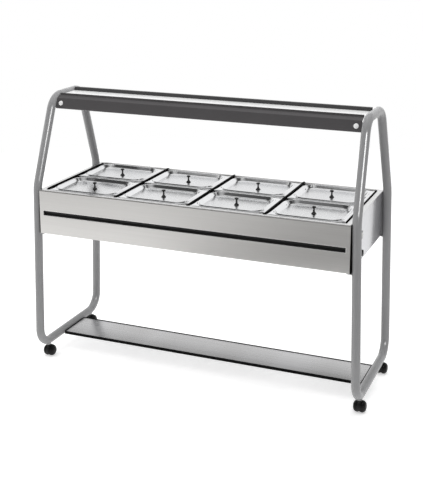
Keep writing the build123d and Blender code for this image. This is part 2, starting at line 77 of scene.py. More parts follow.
CAST_Y, CAST_TRAIL, WHEEL_R = 195.0, 10.0, 25.0
KNOB_Y, KNOB_Z = -165.0, 674.0
GLAND_X, GLAND_Y, GLAND_Z = 640.0, 225.0, 623.5
DRAIN_X, DRAIN_Y, VALVE_Z, TANK_FLOOR = 590.0, 150.0, 590.0, 674.0
BOLT_Z = (674.0, 784.0)


# ------------------------------------------------------------------ materials
class Mat:
    """A material with a Principled shader and short ways to add nodes."""

    def __init__(self, name):
        self.m = bpy.data.materials.new(name)
        self.m.use_nodes = True
        self.nt = self.m.node_tree
        self.nt.nodes.clear()
        out = self.nt.nodes.new("ShaderNodeOutputMaterial")
        self.b = self.nt.nodes.new("ShaderNodeBsdfPrincipled")
        self.nt.links.new(self.b.outputs["BSDF"], out.inputs["Surface"])
        self.tc = self.nt.nodes.new("ShaderNodeTexCoord")

    def link(self, a, b):
        self.nt.links.new(a, b)

    def put(self, **values):
        names = {
            "rough": "Roughness", "metal": "Metallic", "aniso": "Anisotropic",
            "coat": "Coat Weight", "coat_rough": "Coat Roughness", "ior": "IOR",
            "spec": "Specular IOR Level", "sss": "Subsurface Weight",
            "trans": "Transmission Weight", "color": "Base Color", "glow": "Emission Strength",
        }
        for k, v in values.items():
            if k == "color":
                v = (*v, 1.0)
            self.b.inputs[names[k]].default_value = v
        return self

    def coords(self, scale):
        mp = self.nt.nodes.new("ShaderNodeMapping")
        mp.inputs["Scale"].default_value = scale
        self.link(self.tc.outputs["Object"], mp.inputs["Vector"])
        return mp.outputs["Vector"]

    def noise(self, scale, size=1.0, detail=2.0, rough=0.5, distortion=0.0):
        n = self.nt.nodes.new("ShaderNodeTexNoise")
        n.inputs["Scale"].default_value = size
        n.inputs["Detail"].default_value = detail
        n.inputs["Roughness"].default_value = rough
        n.inputs["Distortion"].default_value = distortion
        self.link(self.coords(scale), n.inputs["Vector"])
        return n.outputs["Fac"]

    def spread(self, fac, lo, hi, a=0.3, b=0.7):
        mr = self.nt.nodes.new("ShaderNodeMapRange")
        mr.inputs["From Min"].default_value = a
        mr.inputs["From Max"].default_value = b
        mr.inputs["To Min"].default_value = lo
        mr.inputs["To Max"].default_value = hi
        self.link(fac, mr.inputs["Value"])
        return mr.outputs["Result"]

    def mix(self, fac, a, b):
        mx = self.nt.nodes.new("ShaderNodeMix")
        mx.data_type = "RGBA"
        self.link(fac, mx.inputs["Factor"])
        for value, socket in ((a, mx.inputs[6]), (b, mx.inputs[7])):
            if isinstance(value, tuple):
                socket.default_value = (*value, 1.0)
            else:
                self.link(value, socket)
        return mx.outputs[2]

    def math(self, op, a, b):
        n = self.nt.nodes.new("ShaderNodeMath")
        n.operation = op
        for value, socket in ((a, n.inputs[0]), (b, n.inputs[1])):
            if isinstance(value, (int, float)):
                socket.default_value = value
            else:
                self.link(value, socket)
        return n.outputs[0]

    def color(self, socket):
        self.link(socket, self.b.inputs["Base Color"])
        return self

    def roughness(self, socket):
        self.link(socket, self.b.inputs["Roughness"])
        return self

    def bump(self, height, strength, distance):
        n = self.nt.nodes.new("ShaderNodeBump")
        n.inputs["Strength"].default_value = strength
        n.inputs["Distance"].default_value = distance
        self.link(height, n.inputs["Height"])
        self.link(n.outputs["Normal"], self.b.inputs["Normal"])
        return self

    def low_part(self, a, b):
        """1 at the bottom of the piece's own box, falling to 0 between the heights a and b of it."""
        sp = self.nt.nodes.new("ShaderNodeSeparateXYZ")
        self.link(self.tc.outputs["Generated"], sp.inputs[0])
        return self.spread(sp.outputs["Z"], 1.0, 0.0, a, b)

    def worn(self, color, light, amount, a=0.52, b=0.60):
        """Lighter on outer edges, where paint and plastic rub."""
        g = self.nt.nodes.new("ShaderNodeNewGeometry")
        wear = self.spread(g.outputs["Pointiness"], 0.0, amount, a, b)
        return self.mix(wear, color, light)


def brushed(name, dark, light, rough=(0.26, 0.40), grain="X", band=1.1, metal=1.0):
    """Stainless sheet with its grain along one axis."""
    k = Mat(name)
    along, across = 2.2, 420.0
    sc = {"X": (along, across, across), "Y": (across, along, across), "Z": (across, across, along)}[grain]
    fine = k.noise(sc, 1.0, 3.0, 0.6)
    sc2 = tuple(v * 0.22 if v > 10 else v * 0.5 for v in sc)
    wide = k.noise(sc2, 1.0, 2.0, 0.5)
    bands = {"X": (band, 0.35, 0.35), "Y": (0.35, band, 0.35), "Z": (0.35, 0.35, band)}[grain]
    soft = k.noise(bands, 1.6, 1.0, 0.4)
    f = k.math("ADD", k.math("MULTIPLY", fine, 0.22), k.math("MULTIPLY", wide, 0.18))
    f = k.math("ADD", f, k.math("MULTIPLY", soft, 0.60))
    k.color(k.mix(k.spread(f, 0.0, 1.0, 0.34, 0.66), dark, light))
    k.roughness(k.spread(k.math("ADD", k.math("MULTIPLY", fine, 0.5), k.math("MULTIPLY", soft, 0.5)), rough[0], rough[1]))
    k.bump(k.math("ADD", fine, wide), 0.10, 0.00025)
    k.put(metal=metal)
    return k.m


def polished(name, dark, light, rough=(0.10, 0.17), swirl=26.0, dull_floor=0.0):
    """Bright pressed stainless with faint drawing marks and wipe marks."""
    k = Mat(name)
    marks = k.noise((60.0, 260.0, 60.0), 1.0, 3.0, 0.6, 0.4)
    wipe = k.noise((swirl, swirl * 0.6, swirl), 1.0, 3.0, 0.55, 1.2)
    soft = k.noise((4.0, 4.0, 4.0), 1.0, 1.0, 0.4)
    f = k.math("ADD", k.math("MULTIPLY", wipe, 0.45), k.math("MULTIPLY", soft, 0.55))
    k.color(k.mix(k.spread(f, 0.0, 1.0), dark, light))
    r = k.spread(k.math("ADD", k.math("MULTIPLY", marks, 0.5), k.math("MULTIPLY", wipe, 0.5)), rough[0], rough[1])
    if dull_floor:
        r = k.math("ADD", r, k.math("MULTIPLY", k.low_part(0.09, 0.24), dull_floor))
    k.roughness(r)
    k.bump(marks, 0.015, 0.0002)
    k.put(metal=1.0)
    return k.m


def painted(name, dark, light, rough=(0.34, 0.44), metal=0.0, peel=340.0, wear=None, coat=0.0, peel_depth=0.06, spec=0.5, coat_rough=0.18):
    """Powder coat: a little uneven in tone, with fine orange peel."""
    k = Mat(name)
    tone = k.noise((7.0, 7.0, 4.0), 1.0, 3.0, 0.55)
    fine = k.noise((peel, peel, peel), 1.0, 2.0, 0.5)
    speck = k.noise((1500.0, 1500.0, 1500.0), 1.0, 0.0, 0.5)
    f = k.math("ADD", k.math("MULTIPLY", tone, 0.65), k.math("MULTIPLY", speck, 0.35))
    c = k.mix(k.spread(f, 0.0, 1.0, 0.32, 0.68), dark, light)
    if wear:
        c = k.worn(c, wear, 0.55)
    k.color(c)
    k.roughness(k.spread(k.math("ADD", k.math("MULTIPLY", tone, 0.5), k.math("MULTIPLY", fine, 0.5)), rough[0], rough[1]))
    k.bump(fine, peel_depth, 0.0003)
    k.put(metal=metal, coat=coat, coat_rough=coat_rough, spec=spec)
    return k.m


def moulded(name, dark, light, rough=(0.38, 0.52), grain=900.0, wear=None, spec=0.5, bump=0.10):
    """Moulded plastic or rubber with a fine spark-eroded grain."""
    k = Mat(name)
    tone = k.noise((22.0, 22.0, 22.0), 1.0, 2.0, 0.5)
    fine = k.noise((grain, grain, grain), 1.0, 2.0, 0.55)
    f = k.math("ADD", k.math("MULTIPLY", tone, 0.6), k.math("MULTIPLY", fine, 0.4))
    c = k.mix(k.spread(f, 0.0, 1.0), dark, light)
    if wear:
        c = k.worn(c, wear, 0.5)
    k.color(c)
    k.roughness(k.spread(f, rough[0], rough[1]))
    k.bump(fine, bump, 0.0002)
    k.put(spec=spec)
    return k.m


M_TUBE = painted("silver_tube_paint", (0.255, 0.255, 0.26), (0.30, 0.30, 0.303), rough=(0.22, 0.27), metal=0.0, wear=(0.36, 0.36, 0.36), peel_depth=0.02, spec=0.18)
M_PANEL = brushed("panel_steel", (0.515, 0.506, 0.493), (0.625, 0.616, 0.602), rough=(0.30, 0.40), band=0.8)
# lighter than the panel steel the lip is folded from: a painted highlight on the slot's edges
M_SLOT_LIP_HIGHLIGHT = brushed("slot_lip_painted_highlight", (0.78, 0.775, 0.77), (0.90, 0.895, 0.885), rough=(0.22, 0.32), band=0.8)
M_END = brushed("end_steel", (0.45, 0.45, 0.467), (0.52, 0.52, 0.54), rough=(0.13, 0.18), grain="Y", metal=0.6)
M_SHELF = brushed("shelf_steel", (0.47, 0.465, 0.465), (0.66, 0.66, 0.67), rough=(0.22, 0.32), band=2.6)
M_RIM = brushed("rim_steel", (0.70, 0.70, 0.70), (0.84, 0.84, 0.84), rough=(0.16, 0.26))
M_LID = polished("lid_steel", (0.79, 0.795, 0.805), (0.89, 0.895, 0.905), rough=(0.07, 0.11), dull_floor=0.18)
M_PAN = polished("pan_steel", (0.66, 0.66, 0.66), (0.82, 0.82, 0.82), rough=(0.16, 0.26))
M_TANK = brushed("tank_steel", (0.62, 0.62, 0.62), (0.78, 0.78, 0.78), rough=(0.3, 0.45), metal=0.55)
M_FASCIA = painted("charcoal_paint", (0.051, 0.048, 0.050), (0.065, 0.0615, 0.064), rough=(0.34, 0.42), wear=(0.11, 0.105, 0.108), peel=260.0, spec=0.3)
M_RAIL = painted("rail_paint", (0.026, 0.025, 0.027), (0.036, 0.034, 0.037), rough=(0.34, 0.44), wear=(0.08, 0.08, 0.08), spec=0.3)
# white paint on the polished steel tray: a painted reflection of the bright backdrop
M_TRAY_PAINTED_REFLECTION = painted("tray_white_painted_reflection", (0.78, 0.78, 0.78), (0.85, 0.85, 0.85), rough=(0.26, 0.36), wear=(0.9, 0.9, 0.9))
M_BLACK = moulded("black_plastic", (0.006, 0.006, 0.006), (0.013, 0.013, 0.013), rough=(0.30, 0.42), wear=(0.04, 0.04, 0.04), spec=0.2)
M_KNOB = moulded("knob_bakelite", (0.008, 0.008, 0.008), (0.016, 0.016, 0.016), rough=(0.16, 0.24), wear=(0.05, 0.05, 0.05), bump=0.03)
M_WHEEL = moulded("wheel_plastic", (0.005, 0.005, 0.005), (0.010, 0.010, 0.010), rough=(0.22, 0.32), wear=(0.03, 0.03, 0.03), bump=0.06, spec=0.16)
# near-black rubber of the shelf edging; the same near-black paints the shade in the gaps between the lids and beside
# the legs
M_BLACK_RUBBER_AND_SHADE = moulded("black_rubber", (0.004, 0.004, 0.004), (0.008, 0.008, 0.008), rough=(0.72, 0.86), spec=0.04)
# grey of the strips in the rear gaps beside the legs: painted shade
M_REAR_GAP_SHADE = moulded("rear_gap_painted_shade", (0.22, 0.22, 0.222), (0.27, 0.27, 0.273), rough=(0.5, 0.62), spec=0.2)
M_WHITE = moulded("white_plastic", (0.92, 0.92, 0.915), (0.96, 0.96, 0.955), rough=(0.28, 0.38), bump=0.03)
M_DIFFUSER = moulded("lamp_diffuser", (0.82, 0.82, 0.80), (0.90, 0.90, 0.88), rough=(0.35, 0.45), bump=0.04)
M_BOLT = polished("bolt_zinc", (0.50, 0.50, 0.49), (0.68, 0.68, 0.66), rough=(0.22, 0.34), swirl=300.0)
M_BRASS = polished("valve_nickel", (0.56, 0.53, 0.47), (0.70, 0.67, 0.60), rough=(0.20, 0.32), swirl=120.0)
M_LEVER = moulded("lever_vinyl", (0.36, 0.020, 0.016), (0.48, 0.030, 0.022), rough=(0.30, 0.42))
M_HEATER = painted("heater_sheath", (0.10, 0.085, 0.075), (0.22, 0.19, 0.16), rough=(0.42, 0.58), metal=0.9)
M_ROCKER = moulded("rocker_plastic", (0.62, 0.62, 0.60), (0.74, 0.74, 0.71), rough=(0.22, 0.30), bump=0.02)
M_INK = moulded("print_ink", (0.74, 0.74, 0.72), (0.84, 0.84, 0.82), rough=(0.5, 0.6))
M_WELD = painted("weld_paint", (0.28, 0.28, 0.285), (0.36, 0.36, 0.36), rough=(0.36, 0.48), metal=0.7, peel=500.0, peel_depth=0.15)


# --------------------------------------------------------------- mesh helpers
class Shape:
    """Collects closed shells in millimetres and turns them into one piece."""

    def __init__(self):
        self.v, self.f, self.mi = [], [], []

    def add(self, shell, mat=0, at=None):
        verts, faces = shell
        o = len(self.v)
        if at is not None:
            verts = [at @ Vector(p) for p in verts]
        self.v += [tuple(p) for p in verts]
        self.f += [tuple(i + o for i in f) for f in faces]
        self.mi += [mat] * len(faces)
        return self

    def piece(self, name, mats, body, replaces=(), slot=None, sharp=38.0):
        me = bpy.data.meshes.new(name)
        me.from_pydata([(p[0] * MM, p[1] * MM, p[2] * MM) for p in self.v], [], self.f)
        for i, p in enumerate(me.polygons):
            p.material_index = self.mi[i]
        bm = bmesh.new()
        bm.from_mesh(me)
        bmesh.ops.recalc_face_normals(bm, faces=bm.faces)
        for f in bm.faces:
            f.smooth = True
        limit = math.radians(sharp)
        for e in bm.edges:
            if len(e.link_faces) == 2 and e.calc_face_angle(0.0) > limit:
                e.smooth = False
        bm.to_mesh(me)
        bm.free()
        ob = bpy.data.objects.new(name, me)
        bpy.context.scene.collection.objects.link(ob)
        for m in mats if isinstance(mats, (list, tuple)) else [mats]:
            me.materials.append(m)
        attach(ob, body)
        if replaces:
            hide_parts(*([replaces] if isinstance(replaces, str) else replaces))
        return ob


def rrect(hx, hy, r, n=8, cx=0.0, cy=0.0):
    r = min(r, hx - 1e-4, hy - 1e-4)
    pts = []
    for sx, sy, a0 in ((1, 1, 0), (-1, 1, 90), (-1, -1, 180), (1, -1, 270)):
        for i in range(n + 1):
            a = math.radians(a0 + 90.0 * i / n)
            pts.append((cx + sx * (hx - r) + r * math.cos(a), cy + sy * (hy - r) + r * math.sin(a)))
    return pts


def loft(rings, closed=False, cap0=True, cap1=True):
    n, verts, faces = len(rings[0]), [p for r in rings for p in r], []
    last = len(rings) if closed else len(rings) - 1
    for k in range(last):
        a, b = k * n, ((k + 1) % len(rings)) * n
        for i in range(n):
            j = (i + 1) % n
            faces.append((a + i, a + j, b + j, b + i))
    if not closed:
        if cap0:
            faces.append(tuple(range(n - 1, -1, -1)))
        if cap1:
            o = (len(rings) - 1) * n
            faces.append(tuple(range(o, o + n)))
    return verts, faces


def level(pts, z):
    return [(p[0], p[1], z) for p in pts]


def lathe(profile, segs=40, wave=None):
    """Solid of revolution about Z from (r, z) points that start and end on the axis or close on themselves.
    wave(angle, r, z) may change the radius."""
    verts, rows, faces = [], [], []
    for r, z in profile:
        if r < 1e-6:
            rows.append([len(verts)])
            verts.append((0.0, 0.0, z))
        else:
            rows.append(list(range(len(verts), len(verts) + segs)))
            for i in range(segs):
                a = 2 * math.pi * i / segs
                q = wave(a, r, z) if wave else r
                verts.append((q * math.cos(a), q * math.sin(a), z))
    pairs = list(zip(rows[:-1], rows[1:]))
    if len(rows[0]) > 1 and len(rows[-1]) > 1:
        pairs.append((rows[-1], rows[0]))
    for a, b in pairs:
        if len(a) == 1 and len(b) == 1:
            continue
        for i in range(segs):
            j = (i + 1) % segs
            if len(a) == 1:
                faces.append((a[0], b[j], b[i]))
            elif len(b) == 1:
                faces.append((a[i], a[j], b[0]))
            else:
                faces.append((a[i], a[j], b[j], b[i]))
    return verts, faces


def smoothed(points, n=4):
    """Catmull-Rom through (r, z) points; a repeated point keeps a corner."""
    out = []
    for i in range(len(points) - 1):
        p1, p2 = points[i], points[i + 1]
        if p1 == p2:
            continue
        p0 = points[i - 1] if i else p1
        p3 = points[i + 2] if i + 2 < len(points) else p2
        for k in range(n):
            t = k / n
            q = []
            for a, b, c, d in zip(p0, p1, p2, p3):
                q.append(0.5 * (2 * b + (c - a) * t + (2 * a - 5 * b + 4 * c - d) * t * t + (3 * b - a - 3 * c + d) * t ** 3))
            q[0] = max(q[0], 0.0)
            out.append(tuple(q))
    out.append(points[-1])
    return out


def rounded(points, radii, n=6, closed=True):
    """Outline in a plane with its corners rounded."""
    out, m = [], len(points)
    if isinstance(radii, (int, float)):
        radii = [radii] * m
    for i, p in enumerate(points):
        if (not closed and i in (0, m - 1)) or radii[i] <= 0:
            out.append(p)
            continue
        a, b = Vector(points[i - 1]), Vector(points[(i + 1) % m])
        c = Vector(p)
        u, w = (a - c), (b - c)
        lu, lw = u.length, w.length
        u, w = u / lu, w / lw
        ang = math.acos(max(-1.0, min(1.0, u.dot(w))))
        if ang > math.radians(178):
            out.append(p)
            continue
        t = min(radii[i] / math.tan(ang / 2), 0.49 * lu, 0.49 * lw)
        r = t * math.tan(ang / 2)
        mid = (u + w).normalized()
        o = c + mid * (r / math.sin(ang / 2))
        s, e = c + u * t - o, c + w * t - o
        a0 = math.atan2(s.y, s.x)
        turn = math.atan2(e.y, e.x) - a0
        turn = (turn + math.pi) % (2 * math.pi) - math.pi
        for k in range(n + 1):
            q = a0 + turn * k / n
            out.append((o.x + r * math.cos(q), o.y + r * math.sin(q)))
    return out


def bent_sheet(path, thick, radius, n=6):
    """Closed outline of a folded sheet: the open path is its left face, the sheet lies to the right of travel."""
    inner_r = radius if isinstance(radius, (list, tuple)) else [radius] * len(path)
    line = rounded(path, inner_r, n, closed=False)
    right = []
    for i, p in enumerate(line):
        a = Vector(line[max(i - 1, 0)])
        b = Vector(line[min(i + 1, len(line) - 1)])
        d0 = (Vector(p) - a)
        d1 = (b - Vector(p))
        d0 = d0.normalized() if d0.length > 1e-9 else d1.normalized()
        d1 = d1.normalized() if d1.length > 1e-9 else d0
        h = (d0 + d1).normalized()
        k = thick / max(0.5, h.dot(d0))
        right.append((p[0] + h.y * k, p[1] - h.x * k))
    return line + right[::-1]


def prism_x(outline, x0, x1, chamfer=0.0):
    """Extrudes a (y, z) outline along X."""
    rings = [[(x, p[0], p[1]) for p in outline] for x in (x0, x1)]
    return loft(rings)


def block(x0, x1, y0, y1, z0, z1, r=0.6, n=3):
    """Box with rounded edges."""
    cx, cy = (x0 + x1) / 2, (y0 + y1) / 2
    hx, hy = abs(x1 - x0) / 2, abs(y1 - y0) / 2
    r = min(r, hx * 0.49, hy * 0.49, abs(z1 - z0) * 0.49)
    rings = []
    for k in range(n + 1):
        a = math.pi / 2 * k / n
        i = r * (1 - math.sin(a))
        rings.append(level(rrect(hx - i, hy - i, max(r - i, 0.02) + 0.05, 3, cx, cy), z0 + r * (1 - math.cos(a))))
    for k in range(n + 1):
        a = math.pi / 2 * (1 - k / n)
        i = r * (1 - math.sin(a))
        rings.append(level(rrect(hx - i, hy - i, max(r - i, 0.02) + 0.05, 3, cx, cy), z1 - r * (1 - math.cos(a))))
    return loft(rings)


def tube(path, r, segs=20, closed=False, bead=None):
    """Round section along a 3D polyline; bead(i) scales the radius at point i."""
    pts = [Vector(p) for p in path]
    m = len(pts)
    tang = []
    for i in range(m):
        a = pts[(i - 1) % m] if closed or i else pts[0]
        b = pts[(i + 1) % m] if closed or i < m - 1 else pts[-1]
        tang.append((b - a).normalized())
    up = Vector((0, 0, 1)) if abs(tang[0].z) < 0.9 else Vector((1, 0, 0))
    n = (up - tang[0] * up.dot(tang[0])).normalized()
    rings = []
    for i in range(m):
        n = (n - tang[i] * n.dot(tang[i])).normalized()
        b = tang[i].cross(n)
        q = r * (bead(i) if bead else 1.0)
        rings.append([tuple(pts[i] + n * (q * math.cos(2 * math.pi * k / segs)) + b * (q * math.sin(2 * math.pi * k / segs))) for k in range(segs)])
    return loft(rings, closed=closed)


def along_x(sign=1.0, x=0.0, y=0.0, z=0.0):
    """Matrix that lays a Z-axis shape along X."""
    if sign > 0:
        m = Matrix(((0, 0, 1), (1, 0, 0), (0, 1, 0)))
    else:
        m = Matrix(((0, 0, -1), (-1, 0, 0), (0, 1, 0)))
    return Matrix.Translation((x, y, z)) @ m.to_4x4()


def place(x, y, z):
    return Matrix.Translation((x, y, z))


def hexagon(flats, z0, z1, chamfer=0.6, hole=0.0, segs=48):
    """Hexagonal nut or head about Z with turned chamfers; hole is a bore's radius."""
    def wave(a, r, z):
        s = math.pi / 3
        t = (a % s) - s / 2
        return min(r, (flats / 2) / math.cos(t))
    big = flats / 2 / math.cos(math.pi / 6)
    out = [(big - chamfer, z0), (big, z0 + chamfer * 0.6), (big, z1 - chamfer * 0.6), (big - chamfer, z1)]
    if hole > 0:
        return lathe([(hole, z0)] + out + [(hole, z1)], segs, lambda a, r, z: r if r <= hole + 1e-6 else wave(a, r, z))
    return lathe([(0, z0)] + out + [(0, z1)], segs, wave)


def set_cad(node, mat):
    o = NODES[node]
    o.data.materials.clear()
    o.data.materials.append(mat)
    for p in o.data.polygons:
        p.material_index = 0


# ----------------------------------------------------------- carried-over CAD
CAD = {
    "left_side_frame": M_TUBE, "right_side_frame": M_TUBE, "frame_bolts": M_BOLT,
    "front_panel": M_PANEL, "slot_channel": M_BLACK, "rear_panel": M_PANEL,
    "left_end_panel": M_END, "right_end_panel": M_END, "bottom_cover": M_TANK,
    "well_tank": M_TANK, "top_rim": M_RIM, "pan_support_bars": M_BLACK_RUBBER_AND_SHADE,
    "pan_divider_bars": M_RIM, "heating_elements": M_HEATER, "thermostat_body": M_BLACK,
    "thermostat_knob": M_BLACK, "switch_housing": M_BLACK, "switch_rocker": M_ROCKER,
    "cable_gland": M_BLACK, "drain_valve_body": M_BRASS, "drain_valve_lever": M_LEVER,
    "canopy_fascia": M_FASCIA, "canopy_tray": M_TRAY_PAINTED_REFLECTION, "canopy_rear_rail": M_RAIL,
    "fascia_screws": M_WHITE, "canopy_lamp": M_DIFFUSER, "lower_shelf": M_SHELF,
    "rubber_trims": M_BLACK_RUBBER_AND_SHADE,
}
for fb in ("front", "rear"):
    for lr in ("left", "right"):
        CAD[f"caster_body_{fb}_{lr}"] = M_BLACK
        CAD[f"caster_wheels_{fb}_{lr}"] = M_WHEEL
    for i in range(1, 5):
        CAD[f"pan_{fb}_{i}"] = M_PAN
        CAD[f"lid_{fb}_{i}"] = M_LID
        CAD[f"lid_knob_{fb}_{i}"] = M_KNOB
for node, m in CAD.items():
    set_cad(node, m)

# ---------------------------------------------------------------- side frames
def leg_x(z):
    """Centre of a right-hand loop at a height: it leans in a little all the way up."""
    if z <= KINK_Z:
        return FRAME_X + (FOOT_X - FRAME_X) * (KINK_Z - max(z, BAR_Z)) / (KINK_Z - BAR_Z)
    return FRAME_X - (FRAME_X - TOP_X) * (min(z, TOP_Z) - KINK_Z) / (TOP_Z - KINK_Z)


def loop_path(side):
    pts = [(0, BAR_Z), (-LEG_Y, BAR_Z), (-LEG_Y, KINK_Z), (-TOP_Y, TOP_Z), (TOP_Y, TOP_Z), (LEG_Y, KINK_Z), (LEG_Y, BAR_Z)]
    ring = rounded(pts, [0, R_FOOT, R_KINK, R_TOP, R_TOP, R_KINK, R_FOOT], 20)
    return [(side * leg_x(z), y, z) for y, z in ring]


def weld(path, r=1.5, closed=True):
    """Ripple-like bead along a line."""
    fine = []
    m = len(path)
    for i in range(m if closed else m - 1):
        a, b = Vector(path[i]), Vector(path[(i + 1) % m])
        steps = max(1, int((b - a).length / 1.1))
        fine += [tuple(a.lerp(b, s / steps)) for s in range(steps)]
    if not closed:
        fine.append(path[-1])
    return tube(fine, r, 8, closed, lambda i: 1.0 + 0.16 * math.sin(i * 1.9) + 0.06 * math.sin(i * 0.7))


def circle_x(x, y, z, r, n=28):
    return [(x, y + r * math.cos(2 * math.pi * i / n), z + r * math.sin(2 * math.pi * i / n)) for i in range(n)]


def circle_z(x, y, z, r, n=28):
    return [(x + r * math.cos(2 * math.pi * i / n), y + r * math.sin(2 * math.pi * i / n), z) for i in range(n)]


FU_L = math.hypot(FAS_HIGH[0] - FAS_LOW[0], FAS_HIGH[1] - FAS_LOW[1])
FU = ((FAS_HIGH[0] - FAS_LOW[0]) / FU_L, (FAS_HIGH[1] - FAS_LOW[1]) / FU_L)
FN = (-FU[1], FU[0])


def on_face(along, out):
    return (FAS_LOW[0] + FU[0] * along + FN[0] * out, FAS_LOW[1] + FU[1] * along + FN[1] * out)


for side, s in (("left", -1.0), ("right", 1.0)):
    sh = Shape()
    sh.add(tube(loop_path(s), TUBE_R, 48, closed=True))
    inner, foot, upper = leg_x(WELL_BOT) - TUBE_R, FOOT_X - TUBE_R, TOP_X - TUBE_R
    for sy in (-1, 1):
        # sleeve of the caster's stem, and seat plate under the well
        sh.add(lathe([(5.05, BAR_Z - 19.5), (8.0, BAR_Z - 19.5), (8.0, BAR_Z + 14), (5.05, BAR_Z + 14)], 32), 0, place(s * FOOT_X, sy * CAST_Y, 0))
        sh.add(block(s * 682.0, s * (inner + 3.0), sy * LEG_Y - 15, sy * LEG_Y + 15, WELL_BOT - 4, WELL_BOT, 0.8))
    a, b, c, d = on_face(6, -2.0), on_face(40, -2.0), on_face(40, -6), on_face(6, -6)
    sh.add(loft([[(s * x, *p) for p in rounded([a, b, c, d], 1.2, 3)] for x in (640.0, upper + 3.0)]))
    sh.add(block(s * 655.0, s * (upper + 3.0), -40, 40, TRAY_Z - 6, TRAY_Z - 2.0, 0.8))
    sh.add(block(s * 668.0, s * (foot + 3.0), SHELF_Y0 + 22, SHELF_Y1 - 22, SHELF_Z - 5.5, SHELF_Z - 1.5, 0.8))
    sh.piece(f"{side}_side_frame_tube", M_TUBE, ROOT, f"{side}_side_frame", "silver_tube")

    sh = Shape()
    x, xf, xt = s * (inner + 1.2), s * (foot + 1.2), s * (upper + 1.6)
    for sy in (-1, 1):
        sh.add(weld(circle_z(s * FOOT_X, sy * CAST_Y, BAR_Z - TUBE_R + 1.2, 8.6)))
        sh.add(weld([(x - s * 0.9, sy * LEG_Y - 13, WELL_BOT - 4.6), (x - s * 0.9, sy * LEG_Y + 13, WELL_BOT - 4.6)], 1.6, False))
    sh.add(weld([(xf, SHELF_Y0 + 23, SHELF_Z - 6.0), (xf, SHELF_Y1 - 23, SHELF_Z - 6.0)], 1.7, False))
    p, q = on_face(9, -6.6), on_face(28, -6.6)
    sh.add(weld([(xt, *p), (xt, *q)], 1.6, False))
    sh.piece(f"{side}_frame_welds", M_WELD, ROOT, (), "silver_tube")

# ---------------------------------------------------------------- well casing
def cut(ob, shell):
    """Cuts a closed shell out of a piece."""
    me = bpy.data.meshes.new("cutter")
    me.from_pydata([(p[0] * MM, p[1] * MM, p[2] * MM) for p in shell[0]], [], shell[1])
    bm = bmesh.new()
    bm.from_mesh(me)
    bmesh.ops.recalc_face_normals(bm, faces=bm.faces)
    bm.to_mesh(me)
    bm.free()
    tool = bpy.data.objects.new("cutter", me)
    bpy.context.scene.collection.objects.link(tool)
    mod = ob.modifiers.new("cut", "BOOLEAN")
    mod.operation, mod.solver, mod.object = "DIFFERENCE", "EXACT", tool
    bpy.context.view_layer.update()
    dg = bpy.context.evaluated_depsgraph_get()
    new = bpy.data.meshes.new_from_object(ob.evaluated_get(dg))
    old = ob.data
    ob.modifiers.clear()
    new.name = old.name
    ob.data = new
    bpy.data.objects.remove(tool)
    bpy.data.meshes.remove(me)
    bpy.data.meshes.remove(old)
    bm = bmesh.new()
    bm.from_mesh(ob.data)
    for f in bm.faces:
        f.smooth = True
    for e in bm.edges:
        e.smooth = not (len(e.link_faces) == 2 and e.calc_face_angle(0.0) > math.radians(30))
    bm.to_mesh(ob.data)
    bm.free()


def turned_xz(pts, y):
    return [(p[0], y, p[1]) for p in pts]


panel = bent_sheet([(-WELL_Y + 22, WELL_BOT), (-WELL_Y, WELL_BOT), (-WELL_Y, WELL_TOP - 6.0), (-WELL_Y + 2.6, WELL_TOP - 1.6), (-WELL_Y + 18, WELL_TOP - 1.6)], 1.5, [0, 2.6, 1.0, 0.8, 0])
SLOT_C = (SLOT_Z0 + SLOT_Z1) / 2
SLOT_H = (SLOT_Z1 - SLOT_Z0) / 2
fp = Shape().add(prism_x(panel, -WELL_X, WELL_X)).piece("front_panel_sheet", M_PANEL, ROOT, "front_panel", "brushed_steel", 30)
cut(fp, loft([turned_xz(rrect(SLOT_X + 2.2, SLOT_H + 2.2, 2.6, 6, 0, SLOT_C), y) for y in (-WELL_Y - 3.0, -WELL_Y + 4.0)]))
# folded lip round the slot, in steel lighter than the panel's: a painted highlight on the slot's edges
sh = Shape()
ring = []
for o, y in ((2.2, 1.2), (2.15, 0.4), (1.8, 0.06), (1.2, 0.02), (0.5, 0.35), (0.1, 0.9), (0.0, 1.6), (0.0, 6.0), (1.2, 6.0)):
    ring.append(turned_xz(rrect(SLOT_X + o, SLOT_H + o, 0.8 + o, 6, 0, SLOT_C), -WELL_Y + y))
sh.add(loft(ring, closed=True))
sh.piece("front_slot_lip", M_SLOT_LIP_HIGHLIGHT, ROOT, (), "brushed_steel")

rear = [(-p[0], p[1]) for p in panel]
Shape().add(prism_x(rear, -WELL_X, WELL_X)).piece("rear_panel_sheet", M_PANEL, ROOT, "rear_panel", "brushed_steel", 30)

sh = Shape()
ring = []
for i, d in ((0.0, 1.5), (0.0, 1.05), (0.3, 0.45), (0.9, 0.1), (1.6, 0.0)):
    ring.append(level(rrect(WELL_X - i, WELL_Y - i, 3.0, 8), WELL_TOP - d))
for i, d in ((2.2, 0.0), (1.3, 0.12), (0.5, 0.55), (0.0, 1.4), (0.0, 3.95), (1.4, 3.95), (1.5, 1.5)):
    ring.append(level(rrect(OPEN_X + i, OPEN_Y + i, 14.0 + i, 8), WELL_TOP - d))
sh.add(loft(ring, closed=True))
sh.piece("top_rim_sheet", M_RIM, ROOT, "top_rim", "brushed_steel", 50)


def prism_y(outline, y0, y1):
    return loft([[(p[0], y, p[1]) for p in outline] for y in (y0, y1)])


